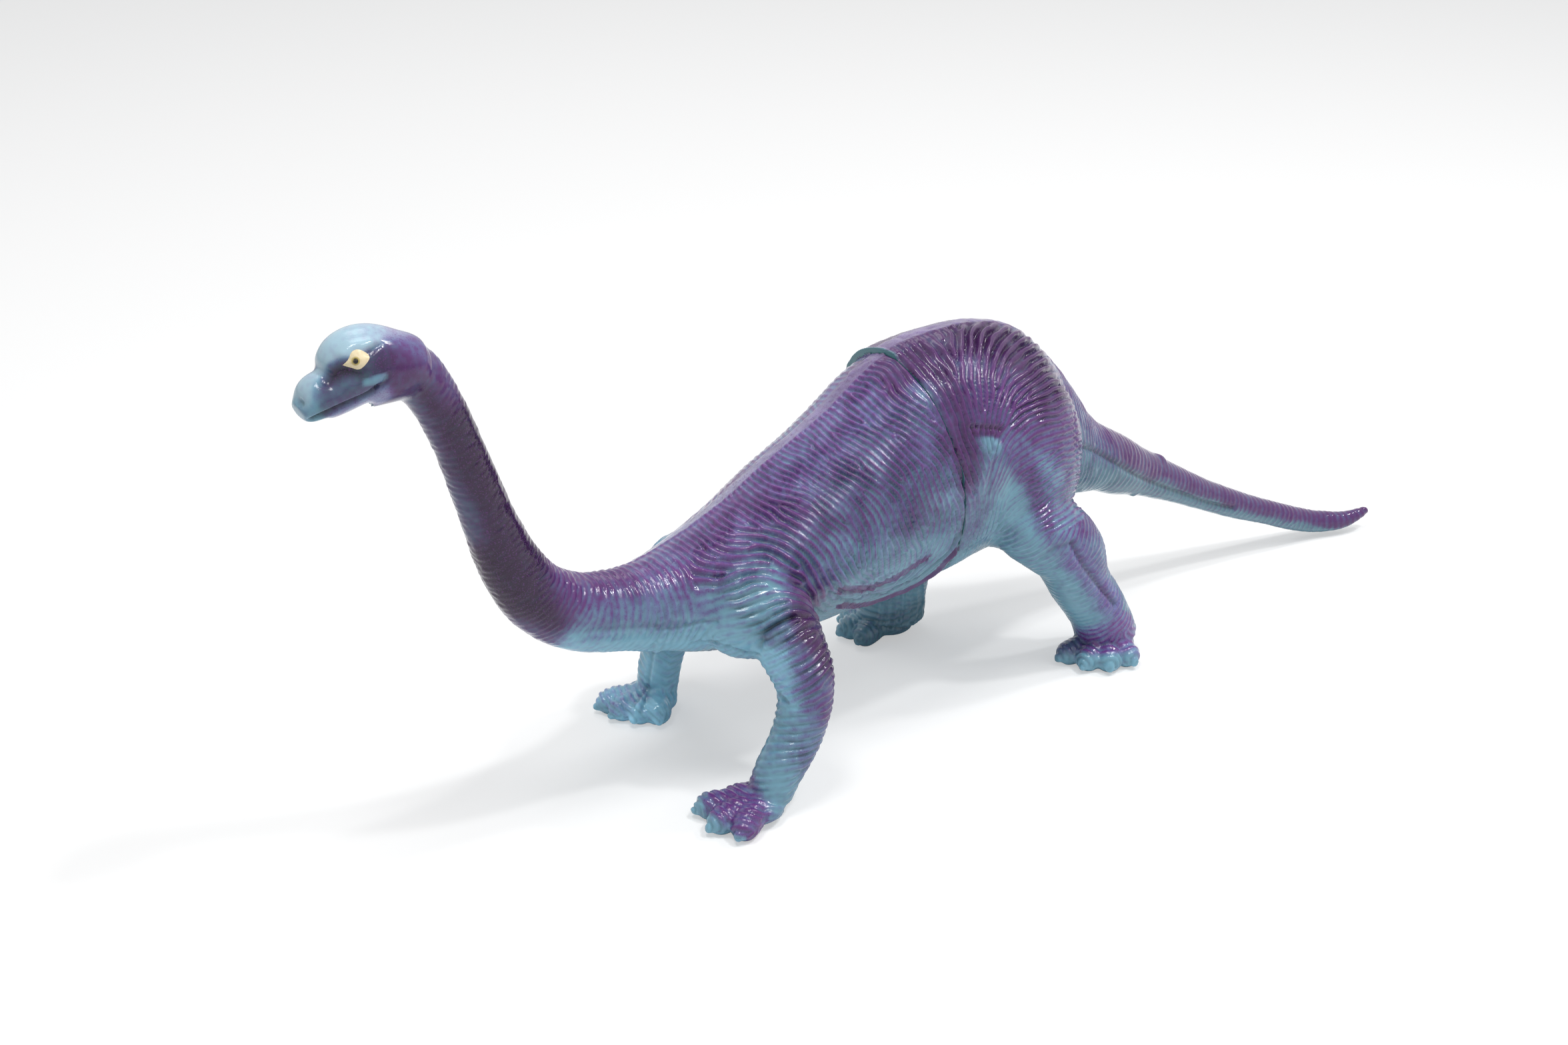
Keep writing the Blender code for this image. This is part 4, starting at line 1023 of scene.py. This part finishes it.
# ---- eyes
EYE_CENTRE, PUPIL = np.array((537.0, 540.0)), np.array((533.0, 542.0))
EYE_OUTLINE = (
    (511, 549), (520, 540), (526, 527), (535, 522.5), (545, 524.5), (554, 531), (556, 538), (550, 547.5),
    (542, 554.5), (535, 556), (527, 553.5), (519, 551.5),
)
SPOKES, RINGS = 72, 26
PUPIL_EDGE, IRIS_EDGE, LID_EDGE = (3.6, 4.8), (5.0, 8.0), (0.86, 1.0)
EYE_SINK, EYE_SKIRT = 0.12, 0.5  # how deep the eye's edge lies in the skin, and its skirt
IVORY, OLIVE = (0.78, 0.66, 0.43), (0.42, 0.33, 0.09)
LID, BLACK = (0.10, 0.07, 0.10), (0.008, 0.008, 0.010)
# eye: how much lower it sits in the photograph, how far it bulges, on the far side
EYES = (("left_eye", 0.0, 0.45, False), ("right_eye", 5.0, 0.30, True))
eye_paint, graph, shader = new_material("eye_paint")
mottle = mottle_node(graph, 1500.0, 2.0, 0.5)
stain = node(graph, "MapRange", {0: mottle, 1: 0.45, 2: 0.75, 3: 0.0, 4: 0.35})
paint_node = node(graph, "Attribute", attribute_name="paint")
stained = node(graph, "Mix", {0: stain, 6: paint_node, 7: (0.45, 0.36, 0.16, 1)}, data_type="RGBA")
feed(graph, shader, {"Base Color": stained.outputs[2], "Roughness": rough_node(graph, mottle, 0.22, 0.36)})

outline = spline(EYE_OUTLINE + EYE_OUTLINE[:1], 8)[:-1]
spoke = np.linspace(0, len(outline), SPOKES, endpoint=False)
closed = np.vstack((outline, outline[:1]))
outline = np.stack([np.interp(spoke, np.arange(len(closed)), column) for column in closed.T], 1)
out_share = np.repeat(np.arange(RINGS + 1) / RINGS, SPOKES)
eye_pixels = np.tile(outline - EYE_CENTRE, (RINGS + 1, 1)) * out_share[:, None] + EYE_CENTRE
away = np.hypot(*(eye_pixels - PUPIL).T)
tone = mixed(np.array(IVORY), np.array(OLIVE), 1 - ramp(away, *IRIS_EDGE))
tone = mixed(tone, np.array(LID), 0.75 * ramp(out_share, *LID_EDGE))
tone = mixed(tone, np.array(BLACK), 1 - ramp(away, *PUPIL_EDGE))
eye_faces = []
for a in range(0, RINGS * SPOKES, SPOKES):
    for k in range(SPOKES):
        n = (k + 1) % SPOKES
        eye_faces.append((a + k, a + SPOKES + k, a + SPOKES + n, a + n))

skin_tree = BVHTree.FromPolygons((Q / 1000).tolist(), faces.tolist())
for name, drop, bulge, far in EYES:
    facing = look(skin_tree, EYE_CENTRE[0], EYE_CENTRE[1] + drop)[1]
    points = []
    for (px, py), r in zip(eye_pixels, out_share):
        rise = bulge * (1 - r ** 2.5) - EYE_SINK * r if r < 1 else -EYE_SKIRT
        point = look(skin_tree, px, py + drop)[0] + facing * rise / 1000
        points.append((point.x, 2 * MID_Y / 1000 - point.y, point.z) if far else point)
    data = bpy.data.meshes.new(name)
    data.from_pydata(points, [], eye_faces)
    add_paint(data, tone)
    mesh = bmesh.new()
    mesh.from_mesh(data)
    bmesh.ops.remove_doubles(mesh, verts=mesh.verts, dist=1e-7)
    bmesh.ops.recalc_face_normals(mesh, faces=mesh.faces)
    outward = sum((f.normal * f.calc_area() for f in mesh.faces), Vector())
    if outward.y * (1 if far else -1) < 0:
        bmesh.ops.reverse_faces(mesh, faces=mesh.faces)
    mesh.to_mesh(data)
    mesh.free()
    eye = add_item(name, data)
    coat(eye, eye_paint)
    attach(eye, "root")

# ---- floor, light
mesh = bmesh.new()
bmesh.ops.create_grid(mesh, x_segments=1, y_segments=1, size=6)
floor = mesh_item("floor", mesh)
paper, graph, shader = new_material("paper")
feed(graph, shader, {"Base Color": (0.93, 0.93, 0.925, 1), "Roughness": 0.9, "Specular IOR Level": 0.1})
seen = node(graph, "MapRange", {0: node(graph, "LightPath").outputs["Is Camera Ray"], 3: 0.0, 4: 0.45})
blend = node(graph, "MixShader", {0: seen, 1: shader, 2: node(graph, "Emission")})
feed(graph, graph.nodes["Material Output"], {0: blend})
floor.data.materials.append(paper)

world = bpy.data.worlds.new("world")
scene.world = world
world.use_nodes = True
graph = world.node_tree
path = node(graph, "LightPath")
sees = path.outputs["Is Camera Ray"]
for kind in ("Is Transmission Ray", "Is Glossy Ray"):
    sees = node(graph, "Math", {0: sees, 1: path.outputs[kind]}, operation="MAXIMUM")
level = node(graph, "MapRange", {0: sees, 3: 0.42, 4: 1.0})
feed(graph, graph.nodes["Background"], {"Color": (0.97, 0.98, 1.0, 1), "Strength": level})

# softbox: place, size, power; the two small ones are for the glints on the ridges
SOFTBOXES = (
    ("key", (-0.28, -0.08, 1.0), 0.26, 3.4), ("front", (0.12, -0.42, 0.88), 0.25, 1.6),
    ("top_back", (0.10, 0.50, 0.9), 0.4, 1.2), ("glint", (0.20, -0.30, 0.92), 0.070, 2.4),
    ("glint_side", (0.55, -0.18, 0.80), 0.070, 1.8),
)
for name, place, size, power in SOFTBOXES:
    data = bpy.data.lights.new(name, "AREA")
    data.size = size
    data.energy = power
    light_item = add_item(name, data)
    light_item.location = place
    light_item.rotation_euler = (-Vector(place)).to_track_quat("-Z", "Y").to_euler()

scene.view_settings.view_transform = "Standard"
